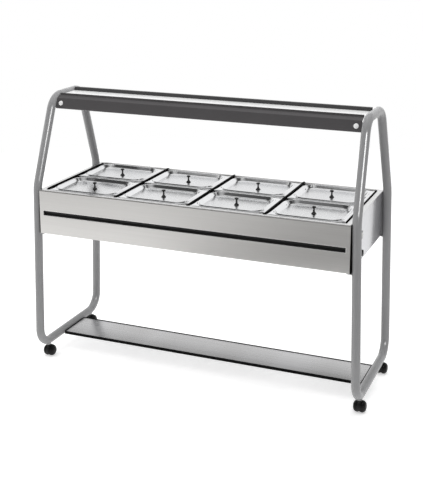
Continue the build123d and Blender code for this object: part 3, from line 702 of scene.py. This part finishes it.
# pan support rails and end bars, near-black all over: painted shade in the gaps between the lids and at the well's ends
sh = Shape()
for i in (-1, 0, 1):
    x = i * PITCH_X
    z = LEDGE_Z
    o = rounded([(x - 15, z - 10), (x - 13.5, z - 10), (x - 13.5, z - 1.5), (x + 13.5, z - 1.5), (x + 13.5, z - 10), (x + 15, z - 10), (x + 15, z), (x - 15, z)],
                [0, 0, 1, 1, 0, 0, 1.5, 1.5], 3)
    sh.add(prism_y(o, -256.0, 256.0))
    sh.add(block(x - 4.7, x + 4.7, -267.0, 267.0, LEDGE_Z - 0.1, BAR_TOP, 1.1))
    sh.add(block(x - 4.7, x + 4.7, 264.0, 282.0, WELL_TOP - 0.05, BAR_TOP, 0.6))
for s in (-1, 1):
    sh.add(block(s * 665.3, s * 671.8, -252.0, 252.0, LEDGE_Z, BAR_TOP + 1.5, 1.0))
sh.piece("pan_support_rails", M_BLACK_RUBBER_AND_SHADE, ROOT, "pan_support_bars", "black_rubber")

# -------------------------------------------------------------- lids and knobs
def lid_shell(cx, cy):
    path = [(-25.5, LID_Z), (-11.5, LID_Z), (-8.8, LID_Z + 4.5), (-4.8, LID_Z + 4.5), (6.4, DISH_Z), (60.0, DISH_Z), (92.0, DISH_Z)]
    line = bent_sheet(path, 1.14, [0, 0.9, 1.3, 2.0, 13.0, 0, 0], 9)
    rings = []
    for q, z in line:
        hx, hy = 137.0 - q, 107.0 - q
        r = 46.0 - q if q > -13.0 else 59.0 - 45.0 * (-13.0 - q) / 12.5
        rings.append(level(rrect(hx, hy, max(r, 8.0), 10, cx, cy), z))
    # rolled outer edge between the two faces
    edge = [level(rrect(162.5 - i, 132.5 - i, 14.0 - i, 10, cx, cy), z) for i, z in ((0.25, LID_Z - 1.10), (0.0, LID_Z - 0.82), (0.0, LID_Z - 0.35), (0.25, LID_Z - 0.07))]
    return loft(order_lid(rings, edge))



def order_lid(rings, edge):
    """From the middle of the underside, out to the rolled edge, and back in over the top."""
    half = len(rings) // 2
    top, under = rings[:half], rings[half:]
    return under[:-1] + edge + top[1:]


def knob_shells(cx, cy, z):
    prof = [(0.0, 0.05), (10.1, 0.05), (10.1, 0.05), (10.5, 0.5), (10.5, 1.7), (9.6, 2.8), (7.6, 4.6), (6.0, 6.4), (4.7, 9.0), (3.9, 12.0), (3.45, 15.5), (3.35, 19.5),
            (3.9, 22.3), (5.6, 23.9), (7.4, 25.0), (8.5, 26.4), (8.8, 28.0), (8.3, 29.6), (6.8, 31.0), (4.2, 31.9), (0.0, 32.2)]
    knob = lathe(smoothed(prof, 3), 36)
    screw = lathe([(0.0, -3.4), (2.6, -3.4), (3.4, -3.1), (4.4, -2.0), (4.5, -1.4), (4.5, -1.2), (2.0, -1.2), (2.0, 8.0), (0.0, 8.0)], 24)
    return knob, screw


for row, sy in (("front", -1), ("rear", 1)):
    for i in range(4):
        cx, cy = (i - 1.5) * PITCH_X, sy * PITCH_Y / 2
        body = f"lid_{row}_{i + 1}"
        Shape().add(lid_shell(cx, cy)).piece(f"lid_{row}_{i + 1}_pressing", M_LID, body, body, "polished_steel", 50)
        knob, screw = knob_shells(cx, cy, DISH_Z)
        sh = Shape().add(knob, 0, place(cx, cy, DISH_Z)).add(screw, 1, place(cx, cy, DISH_Z))
        sh.piece(f"lid_{row}_{i + 1}_knob", [M_KNOB, M_BOLT], body, f"lid_knob_{row}_{i + 1}", "black_plastic", 45)

# --------------------------------------------------------------------- canopy
fas = bent_sheet([on_face(0, -9), on_face(0, 0), FAS_HIGH, FAS_LIP, (FAS_LIP[0], LIP_Z)], 2.0, [0, 2.6, 4.0, 1.0, 0], 8)
Shape().add(prism_x(fas, -CAN_X, CAN_X)).piece("canopy_fascia_sheet", M_FASCIA, ROOT, "canopy_fascia", "charcoal_paint", 30)
# tray of polished steel, painted white: a painted reflection of the bright backdrop
sh = Shape()
sh.add(prism_x(rounded([(FAS_LIP[0] + 2, TRAY_Z - 2), (RAIL_Y1, TRAY_Z - 2), (RAIL_Y1, TRAY_Z), (FAS_LIP[0] + 2, TRAY_Z)], 0.5, 3), -CAN_X, CAN_X))
sh.piece("canopy_tray_sheet", M_TRAY_PAINTED_REFLECTION, ROOT, "canopy_tray", "polished_steel")
rail = bent_sheet([(RAIL_Y0, TRAY_Z + 0.05), (RAIL_Y0, RAIL_Z1), (RAIL_Y1, RAIL_Z1), (RAIL_Y1, TRAY_Z + 0.05)], 1.5, [0, 2.6, 2.6, 0], 6)
Shape().add(prism_x(rail, -CAN_X, CAN_X)).piece("canopy_rail_channel", M_RAIL, ROOT, "canopy_rear_rail", "charcoal_paint", 30)

sh = Shape()
cap = lathe(smoothed([(0.0, -8.5), (2.5, -8.5), (2.5, -8.5), (2.5, 0.05), (2.5, 0.05), (10.2, 0.05), (10.2, 0.05), (10.5, 0.5), (10.4, 1.5), (9.4, 3.0), (6.5, 4.3), (3.0, 4.9), (0.0, 5.0)], 3), 36)
for s in (-1, 1):
    o = on_face(23.0, 0)
    z = Vector((0, FN[0], FN[1]))
    x = Vector((1, 0, 0))
    m = Matrix((x, z.cross(x), z)).transposed().to_4x4()
    sh.add(cap, 0, Matrix.Translation((s * 664.0, o[0], o[1])) @ m)
sh.piece("fascia_screw_caps", M_WHITE, ROOT, "fascia_screws", "white_plastic")

sh = Shape()
house = rounded([(-34, TRAY_Z - 24), (14, TRAY_Z - 24), (14, TRAY_Z - 2), (-34, TRAY_Z - 2)], [1.5, 1.5, 2.5, 2.5], 4)
sh.add(prism_x(house, -556.0, 556.0), 0)
lens = [(-28.0, TRAY_Z - 23.8), (-28.0, TRAY_Z - 28.0)]
for i in range(25):
    a = math.pi * i / 24
    y = -10.0 - 18.0 * math.cos(a)
    z = TRAY_Z - 28.0 - 7.2 * math.sin(a) ** 0.7 + 0.35 * math.cos(i * math.pi)
    lens.append((y, z))
lens += [(8.0, TRAY_Z - 28.0), (8.0, TRAY_Z - 23.8)]
sh.add(prism_x(lens, -550.0, 550.0), 1)
for s in (-1, 1):
    sh.add(block(s * 549.0, s * 560.0, -34.0, 14.0, TRAY_Z - 35.6, TRAY_Z - 2.0, 3.0), 0)
    sh.add(lathe([(0, 0), (3.4, 0), (3.0, 1.2), (1.0, 1.7), (0, 1.7)], 20), 2, along_x(s, s * 558.2, -10.0, TRAY_Z - 14.0))
sh.piece("canopy_lamp_batten", [M_WHITE, M_DIFFUSER, M_BOLT], ROOT, "canopy_lamp", "white_plastic")

# ---------------------------------------------------------------- lower shelf
shelf = bent_sheet([(SHELF_Y0, SHELF_Z - SHELF_LIP), (SHELF_Y0, SHELF_Z), (SHELF_Y1, SHELF_Z), (SHELF_Y1, SHELF_Z - SHELF_LIP)], 1.5, [0, 2.6, 2.6, 0], 6)
sh = Shape().add(prism_x(shelf, -SHELF_X, SHELF_X))
# threaded studs welded under it
thread = [(0.0, -15.0), (2.5, -15.0)] + [(3.0 if i % 2 else 2.65, -14.6 + 0.5 * i) for i in range(26)] + [(3.0, -1.4), (0.0, -1.4)]
for s in (-1, 1):
    for y in (SHELF_Y0 + 40, SHELF_Y1 - 40):
        sh.add(lathe(thread, 20), 0, place(s * STUD_X, y, SHELF_Z))
sh.piece("lower_shelf_sheet", M_SHELF, ROOT, "lower_shelf", "brushed_steel", 30)

# black edging of the shelf, and strips between the legs and the end panels, black at the front and grey at the rear:
# painted shade in those gaps
sh = Shape()
sh.add(block(-SHELF_X - TRIM_T, SHELF_X + TRIM_T, SHELF_Y0 - TRIM_T, SHELF_Y0, SHELF_Z - 12, SHELF_Z + 1.5, 1.1))
sh.add(block(-SHELF_X - TRIM_T, SHELF_X + TRIM_T, SHELF_Y1, SHELF_Y1 + TRIM_T, SHELF_Z - 12, SHELF_Z + TRIM_UP * 0.5, 1.1))
for s in (-1, 1):
    sh.add(block(s * SHELF_X, s * (SHELF_X + TRIM_T), SHELF_Y0, SHELF_Y1, SHELF_Z - 1.3, SHELF_Z + 2.5, 0.9))
    # strips in the gaps between the legs and the end panels: painted shade
    for sy in (-1, 1):
        # thicker towards the bottom, as the legs stand off there
        z0, z1 = WELL_BOT + 2, WELL_TOP - 3
        x0, x1 = (leg_x(z) - TUBE_R - 0.1 for z in (z0, z1))
        o = rounded([(s * WELL_X, z0), (s * x0, z0), (s * x1, z1), (s * WELL_X, z1)], 0.3, 3)
        y0, y1 = sy * (LEG_Y - (14 if sy < 0 else 6)), sy * (WELL_Y - 1)
        ins = [(s * (WELL_X + 0.3) + (p[0] - s * (WELL_X + 0.3)) * 0.8, p[1] + (0.5 if p[1] < 720 else -0.5)) for p in o]
        sh.add(loft([[(p[0], y, p[1]) for p in q] for q, y in ((ins, y0), (o, y0 + sy * 0.5), (o, y1 - sy * 0.5), (ins, y1))]), 0 if sy < 0 else 1)
sh.piece("shelf_edging_and_gap_shade_strips", [M_BLACK_RUBBER_AND_SHADE, M_REAR_GAP_SHADE], ROOT, "rubber_trims", "black_rubber")

# ---------------------------------------------------------------------- bolts
def socket_bolt():
    """Button head with a hexagon socket."""
    def wave(a, r, z):
        if r < 2.4 and z > 1.0:
            t = (a % (math.pi / 3)) - math.pi / 6
            return 2.0 / math.cos(t) if r > 1.0 else r
        return r
    return lathe([(0, -12), (2.6, -12), (3.0, -11.6), (3.0, 0), (5.2, 0), (5.5, 0.35), (5.3, 1.3), (4.6, 2.4), (3.6, 3.1), (2.9, 3.3), (2.3, 3.25), (2.3, 1.4), (0, 1.2)], 36, wave)


sh = Shape()
for s in (-1, 1):
    for sy in (-1, 1):
        for z in BOLT_Z:
            sh.add(socket_bolt(), 0, along_x(-s, s * (WELL_X - 1.5), sy * LEG_Y, z))
    for y in (SHELF_Y0 + 40, SHELF_Y1 - 40):
        sh.add(hexagon(9.9, -10.6, -5.6, 0.6, 3.02), 0, place(s * STUD_X, y, SHELF_Z))
sh.piece("frame_bolt_set", M_BOLT, ROOT, "frame_bolts", "bolt_steel", 40)

# ------------------------------------------------------------------- controls
def figure(text, size, depth):
    """A plain numeral as a thin closed shell about the origin, in the X-Y plane."""
    cu = bpy.data.curves.new("figure", "FONT")
    cu.body, cu.size, cu.extrude, cu.resolution_u = text, size, depth / 2, 3
    cu.align_x, cu.align_y = "CENTER", "CENTER"
    ob = bpy.data.objects.new("figure", cu)
    scene_objects = bpy.context.scene.collection.objects
    scene_objects.link(ob)
    bpy.context.view_layer.update()
    me = bpy.data.meshes.new_from_object(ob.evaluated_get(bpy.context.evaluated_depsgraph_get()))
    bm = bmesh.new()
    bm.from_mesh(me)
    bmesh.ops.remove_doubles(bm, verts=bm.verts, dist=1e-4)
    bm.verts.ensure_lookup_table()
    shell = ([tuple(v.co) for v in bm.verts], [tuple(v.index for v in f.verts) for f in bm.faces])
    bm.free()
    bpy.data.objects.remove(ob)
    bpy.data.curves.remove(cu)
    bpy.data.meshes.remove(me)
    return shell


def fluted(count, depth, r_min, z0, z1):
    """Wave for lathe: flutes round a grip between two heights."""
    def wave(a, r, z):
        if r < r_min or not z0 <= z <= z1:
            return r
        return r - depth * (0.5 + 0.5 * math.cos(count * a)) ** 2
    return wave


knob = lathe([(0, 0), (16.1, 0), (16.5, 0.4), (16.5, 2.9), (16.1, 3.4), (13.7, 5.6), (13.3, 6.4), (13.2, 7.4), (13.1, 8.4), (12.5, 18.4), (12.4, 19.2), (11.7, 21.0), (10.8, 21.8), (9.8, 22.0), (0, 22.0)],
             144, fluted(24, 0.9, 11.0, 7.0, 20.0))
lay = along_x(1, 697.0, KNOB_Y, KNOB_Z)
sh = Shape().add(knob, 0, lay)
sh.add(block(-1.5, 1.5, 4.0, 13.9, 4.0, 22.7, 0.5), 0, lay)
sh.add(block(-0.55, 0.55, 4.8, 13.2, 22.5, 22.8, 0.1), 1, lay)
sh.piece("thermostat_grip", [M_BLACK, M_INK], "thermostat_knob", "thermostat_knob", "black_plastic", 40)

# printed ring behind the knob: strokes and plain numbers
lay = along_x(1, WELL_X, KNOB_Y, KNOB_Z)
sh = Shape().add(lathe([(17.0, 0.02), (27.4, 0.02), (27.4, 0.25), (27.2, 0.4), (17.2, 0.4), (17.0, 0.25)], 96), 0, lay)
for i in range(11):
    a = math.radians(30.0 * i)
    turn = Matrix.Rotation(-a, 4, "Z")
    sh.add(block(-0.35, 0.35, 17.8, 20.4 if i % 2 == 0 else 19.4, 0.36, 0.46, 0.03), 1, lay @ turn)
    if i % 2 == 0:
        r = 23.7
        sh.add(figure(str(10 * i), 4.6, 0.1), 1, lay @ Matrix.Translation((r * math.sin(a), r * math.cos(a), 0.42)))
sh.piece("thermostat_dial_ring", [M_BLACK, M_INK], ROOT, (), "black_plastic", 40)

# cable gland: locknut inside the cover, hexagon and fluted cap nut outside
down = Matrix.Translation((GLAND_X, GLAND_Y, GLAND_Z)) @ Matrix.Rotation(math.pi, 4, "X")
sh = Shape().add(lathe([(4.0, -11.0), (9.0, -11.0), (9.4, -10.6), (9.4, 0.5), (4.0, 0.5)], 40), 0, down)
sh.add(hexagon(20.6, -8.0, -1.55, 0.7, 9.3), 0, down)
sh.add(hexagon(21.4, 0.02, 8.0, 0.8, 4.0), 0, down)
sh.add(lathe([(4.0, 7.8), (9.9, 7.8), (10.5, 8.6), (10.5, 9.4), (10.4, 14.4), (9.9, 16.0), (9.0, 18.2), (7.8, 20.2), (6.4, 21.0), (4.7, 21.0), (4.0, 20.3)], 96, fluted(16, 0.6, 9.95, 9.0, 15.0)), 0, down)
sh.piece("cable_gland_nuts", M_BLACK, ROOT, "cable_gland", "black_plastic", 40)

# ---------------------------------------------------------------------- drain
spot = place(DRAIN_X, DRAIN_Y, 0)
v = VALVE_Z
sh = Shape().add(lathe([(7.5, TANK_FLOOR), (17.6, TANK_FLOOR), (18.0, TANK_FLOOR - 0.4), (18.0, TANK_FLOOR - 2.6), (17.6, TANK_FLOOR - 3.0), (10.5, TANK_FLOOR - 3.0), (10.5, v + 26),
                        (12.4, v + 25.4), (12.4, v + 19), (14.0, v + 17), (16.4, v + 14), (17.7, v + 9), (18.0, v + 4), (18.0, v - 4), (17.7, v - 9), (16.4, v - 14), (14.0, v - 17),
                        (11.0, v - 19), (10.0, v - 20), (10.0, v - 25), (9.3, v - 27), (10.0, v - 29), (10.0, v - 32), (9.3, v - 34), (10.0, v - 36), (10.0, v - 39), (9.2, v - 43.4), (8.6, v - 44), (7.5, v - 44)], 56), 0, spot)
sh.add(hexagon(27.0, v + 15, v + 24, 0.8, 8.0), 0, spot)
sh.add(hexagon(24.0, v - 22, v - 15, 0.8, 8.0), 0, spot)
lay = along_x(1, DRAIN_X + 14.0, DRAIN_Y, v)
sh.add(lathe([(0, 0), (8.0, 0), (8.0, 9.2), (7.2, 10.0), (4.0, 10.0), (4.0, 18.2), (3.4, 19.0), (0, 19.0)], 32), 0, lay)
sh.piece("drain_valve_casting", M_BRASS, ROOT, "drain_valve_body", "valve_brass", 35)

lx = DRAIN_X + 24.5
sh = Shape().add(lathe([(4.05, 0), (8.4, 0), (9.0, 0.6), (9.0, 7.4), (8.4, 8.0), (4.05, 8.0)], 40), 1, along_x(1, lx, DRAIN_Y, v))
rings = []
for y, h, t in ((6.6, 6.2, 1.9), (20.0, 6.3, 1.95), (26.0, 6.4, 2.0)):
    rings.append([(lx + 6.0 + q[0], DRAIN_Y + y, v + q[1]) for q in rrect(t, h, 0.8, 4)])
sh.add(loft(rings), 1)
rings = []
for y, h, t in ((23.0, 6.4, 2.3), (23.8, 6.9, 2.8), (28.0, 7.2, 3.1), (44.0, 7.0, 3.2), (58.0, 7.4, 3.4), (63.0, 7.4, 3.4), (66.4, 6.4, 3.2), (68.5, 4.6, 2.6), (69.4, 2.6, 1.6)):
    rings.append([(lx + 6.0 + q[0], DRAIN_Y + y, v + q[1]) for q in rrect(t, h, min(t, h) * 0.8, 6)])
sh.add(loft(rings), 0)
sh.piece("drain_lever_dipped", [M_LEVER, M_BOLT], "drain_lever", "drain_valve_lever", "lever_paint", 40)

# -------------------------------------------------------------------- casters
def caster_body_shells(x, y):
    out = []
    yc, zc = y + CAST_TRAIL, WHEEL_R
    # centre web with a bore for the axle
    prof = [(3.05, -3.2), (20.9, -3.2), (22.0, -2.4), (22.4, -1.0), (22.4, 1.0), (22.0, 2.4), (20.9, 3.2), (3.05, 3.2)]
    out.append((lathe(prof, 48), along_x(1, x, yc, zc)))
    # fender over the slit between the wheels, open towards the floor
    arc = []
    for i in range(37):
        a = math.radians(-28 + 236 * i / 36)
        arc.append((math.cos(a), math.sin(a)))
    rings = []
    n = len(arc)
    for i, (c, s) in enumerate(arc):
        end = min(i, n - 1 - i)
        w = 6.6 * (1.0 if end > 4 else 0.55 + 0.45 * math.sin(math.pi / 2 * end / 5))
        sec = rounded([(-w, 25.6), (w, 25.6), (w, 26.8), (-w, 26.8)], 0.5, 2)
        crown = [(u, r + 0.35 * (1 - (u / w) ** 2) * (1 if r > 26.1 else 0)) for u, r in sec]
        rings.append([(x + u, yc + r * c, zc + r * s) for u, r in crown])
    out.append((loft(rings), None))
    rings = []
    for i, (c, s) in enumerate(arc):
        rings.append([(x + u, yc + r * c, zc + r * s) for u, r in ((-2.9, 21.2), (2.9, 21.2), (2.9, 25.9), (-2.9, 25.9))])
    out.append((loft(rings), None))
    # swivel collar, washer and stem
    top = BAR_Z - TUBE_R - 1.3
    out.append((lathe(smoothed([(0, 50.5), (9.0, 50.5), (9.0, 50.5), (9.4, 52.9), (9.3, 55.2), (8.4, 56.5), (7.2, 57.0), (7.2, 57.0), (0, 57.0)], 3), 36), place(x, y, 0)))
    out.append((lathe([(0, 56.8), (8.6, 56.8), (8.9, 57.1), (8.9, top - 0.3), (8.6, top), (0, top)], 36), place(x, y, 0)))
    out.append((lathe([(0, 57.0), (5.0, 57.0), (5.0, BAR_Z + 11.2), (4.2, BAR_Z + 12), (0, BAR_Z + 12)], 32), place(x, y, 0)))
    # neck between collar and web
    out.append((block(x - 3.2, x + 3.2, y - 8.0, yc + 6.0, zc + 16, 51.8, 1.4), None))
    return out


def wheel_shell(s, x, y):
    prof = [(3.0, 3.7), (18.8, 3.7), (18.8, 3.7), (20.6, 4.0), (21.8, 4.7), (22.4, 6.0), (22.5, 7.0), (22.5, 7.0), (22.1, 7.3), (22.1, 8.1), (22.5, 8.4), (22.5, 8.4),
            (22.5, 11.4), (22.5, 11.4), (22.3, 13.0), (21.6, 15.4), (20.4, 17.9), (18.9, 20.0), (18.9, 20.0), (18.2, 20.1), (17.6, 21.2), (17.6, 21.2), (16.0, 22.6), (13.6, 24.0),
            (10.6, 25.1), (7.4, 25.6), (7.4, 25.6), (7.0, 25.1), (6.4, 25.1), (6.0, 25.65), (6.0, 25.65), (3.2, 25.95), (0.0, 26.0)]
    prof = [(r * WHEEL_R / 22.5 if r > 3.1 else r, 3.7 + (w - 3.7) * 1.067) for r, w in prof]
    pts = smoothed(prof, 3)
    pts = [(0.0, 3.7)] + pts
    return lathe(pts, 56), along_x(s, x, y + CAST_TRAIL, WHEEL_R)


for fb, sy in (("front", -1), ("rear", 1)):
    for lr, sx in (("left", -1), ("right", 1)):
        x, y = sx * FOOT_X, sy * CAST_Y
        sh = Shape()
        parts = caster_body_shells(x, y)
        for i, (shell, m) in enumerate(parts):
            sh.add(shell, 1 if i in (4, 5) else 0, m)
        sh.piece(f"caster_hood_{fb}_{lr}", [M_BLACK, M_BOLT], f"caster_{fb}_{lr}", f"caster_body_{fb}_{lr}", "black_plastic", 40)
        sh = Shape()
        for s in (-1, 1):
            shell, m = wheel_shell(s, x, y)
            sh.add(shell, 0, m)
        sh.add(lathe([(0, -23), (3.0, -23), (3.0, 23), (0, 23)], 24), 1, along_x(1, x, y + CAST_TRAIL, WHEEL_R))
        sh.piece(f"caster_wheel_pair_{fb}_{lr}", [M_WHEEL, M_BOLT], f"wheels_{fb}_{lr}", f"caster_wheels_{fb}_{lr}", "wheel_plastic", 40)

# ------------------------------------------------------------- camera, lights
scene = bpy.context.scene
scene.view_settings.view_transform = "Standard"
scene.view_settings.look = "None"

yaw, pitch = math.radians(22.25), math.radians(12.95)
cam_data = bpy.data.cameras.new("camera")
cam_data.lens = 72.369
cam_data.sensor_width = 36.0
cam_data.shift_x, cam_data.shift_y = -0.001, -0.199
cam_data.clip_start, cam_data.clip_end = 0.05, 200.0
cam = bpy.data.objects.new("camera", cam_data)
scene.collection.objects.link(cam)
cam.location = (1.60154, -3.90941, 1.96627)
forward = Vector((-math.sin(yaw) * math.cos(pitch), math.cos(yaw) * math.cos(pitch), -math.sin(pitch)))
cam.rotation_mode = "QUATERNION"
cam.rotation_quaternion = forward.to_track_quat("-Z", "Y")
scene.camera = cam


def softbox(name, loc, aim, size, power, color=(1.0, 1.0, 1.0)):
    d = bpy.data.lights.new(name, "AREA")
    d.shape = "RECTANGLE"
    d.size, d.size_y = size
    d.energy = power
    d.color = color
    o = bpy.data.objects.new(name, d)
    scene.collection.objects.link(o)
    o.location = loc
    o.rotation_mode = "QUATERNION"
    o.rotation_quaternion = (Vector(aim) - Vector(loc)).to_track_quat("-Z", "Y")
    return o


# a strip whose reflection only the tubes show, and soft boxes that show in nothing
strip = softbox("front_right_strip", (3.3, -3.2, 2.9), (0.2, 0.0, 0.9), (1.7, 0.9), 590.0)
strip.visible_diffuse = False
tubes = bpy.data.collections.new("tube_frames")
for side in ("left", "right"):
    tubes.objects.link(bpy.data.objects[f"{side}_side_frame_tube"])
strip.light_linking.receiver_collection = tubes
for box in (softbox("top_box", (0.0, 0.8, 4.6), (0.0, 0.1, 0.6), (6.0, 5.0), 178.0),
            softbox("left_box", (-4.2, -0.8, 1.9), (0.0, 0.0, 0.7), (2.2, 2.2), 60.0)):
    box.visible_glossy = False

world = bpy.data.worlds.new("studio")
scene.world = world
world.use_nodes = True
wn = world.node_tree
wn.nodes.clear()


def wnode(kind, **values):
    n = wn.nodes.new(kind)
    for k, v in values.items():
        n.inputs[k].default_value = v
    return n


def wrange(src, a, b, lo, hi):
    n = wnode("ShaderNodeMapRange", **{"From Min": a, "From Max": b, "To Min": lo, "To Max": hi})
    n.interpolation_type = "SMOOTHSTEP"
    wn.links.new(src, n.inputs["Value"])
    return n.outputs["Result"]


def wmath(op, a, b):
    n = wn.nodes.new("ShaderNodeMath")
    n.operation = op
    for value, socket in ((a, n.inputs[0]), (b, n.inputs[1])):
        if isinstance(value, (int, float)):
            socket.default_value = value
        else:
            wn.links.new(value, socket)
    return n.outputs[0]


wt = wn.nodes.new("ShaderNodeTexCoord")
ws = wn.nodes.new("ShaderNodeSeparateXYZ")
wn.links.new(wt.outputs["Generated"], ws.inputs[0])
back = wrange(ws.outputs["Y"], 0.05, 0.50, 0.0, 1.0)
high = wrange(ws.outputs["Z"], 0.28, 0.54, 0.0, 1.0)
raised = wrange(ws.outputs["Z"], 0.42, 0.62, 0.0, 1.0)
zenith = wrange(ws.outputs["Z"], 0.70, 0.84, 0.0, 0.95)
front_part = wmath("ADD", wmath("MULTIPLY", wmath("SUBTRACT", 1.0, high), 0.92), wmath("MULTIPLY", high, 0.07))
back_part = wmath("ADD", wmath("MULTIPLY", wmath("SUBTRACT", 1.0, raised), 1.22), wmath("MULTIPLY", raised, 0.12))
shine = wmath("ADD", wmath("MULTIPLY", back, back_part), wmath("MULTIPLY", wmath("SUBTRACT", 1.0, back), front_part))
shine = wmath("ADD", shine, zenith)
fill = wmath("ADD", wmath("MULTIPLY", back, 0.28), wmath("MULTIPLY", wmath("SUBTRACT", 1.0, back), 0.52))
lp = wn.nodes.new("ShaderNodeLightPath")
soft = lp.outputs["Is Diffuse Ray"]
total = wmath("ADD", wmath("MULTIPLY", soft, fill), wmath("MULTIPLY", wmath("SUBTRACT", 1.0, soft), shine))
world.cycles.sampling_method = "NONE"
bg_light = wnode("ShaderNodeBackground")
wn.links.new(total, bg_light.inputs["Strength"])
bg_seen = wnode("ShaderNodeBackground", Color=(1.0, 1.0, 1.0, 1.0), Strength=1.0)
mixer = wn.nodes.new("ShaderNodeMixShader")
wn.links.new(lp.outputs["Is Camera Ray"], mixer.inputs[0])
wn.links.new(bg_light.outputs[0], mixer.inputs[1])
wn.links.new(bg_seen.outputs[0], mixer.inputs[2])
wo = wn.nodes.new("ShaderNodeOutputWorld")
wn.links.new(mixer.outputs[0], wo.inputs["Surface"])

# plain pale floor
k = Mat("floor_paint")
tone = k.noise((0.6, 0.6, 0.6), 1.0, 2.0, 0.5)
k.color(k.mix(k.spread(tone, 0.0, 1.0), (0.90, 0.90, 0.90), (0.93, 0.93, 0.93)))
k.put(rough=0.7, spec=0.2, glow=0.50)
k.b.inputs["Emission Color"].default_value = (1.0, 1.0, 1.0, 1.0)
me = bpy.data.meshes.new("floor")
me.from_pydata([(4.6 * math.cos(math.pi * i / 48), 4.6 * math.sin(math.pi * i / 48), 0.0) for i in range(96)], [], [tuple(range(96))])
me.materials.append(k.m)
floor = bpy.data.objects.new("floor", me)
scene.collection.objects.link(floor)

# grey card on the floor in front of the right half, seen only in reflections
k = Mat("grey_card")
tone = k.noise((2.0, 2.0, 2.0), 1.0, 2.0, 0.5)
k.color(k.mix(k.spread(tone, 0.0, 1.0), (0.02, 0.02, 0.02), (0.03, 0.03, 0.03)))
k.put(rough=0.9, spec=0.0, glow=0.28)
k.b.inputs["Emission Color"].default_value = (1.0, 1.0, 1.0, 1.0)
me = bpy.data.meshes.new("grey_card")
me.from_pydata([(-0.55, -4.2, 0.012), (2.6, -4.2, 0.012), (2.6, -1.2, 0.012), (-0.55, -1.2, 0.012)], [], [(0, 1, 2, 3)])
me.materials.append(k.m)
card = bpy.data.objects.new("grey_card", me)
scene.collection.objects.link(card)
card.visible_camera = card.visible_diffuse = card.visible_shadow = card.visible_transmission = False
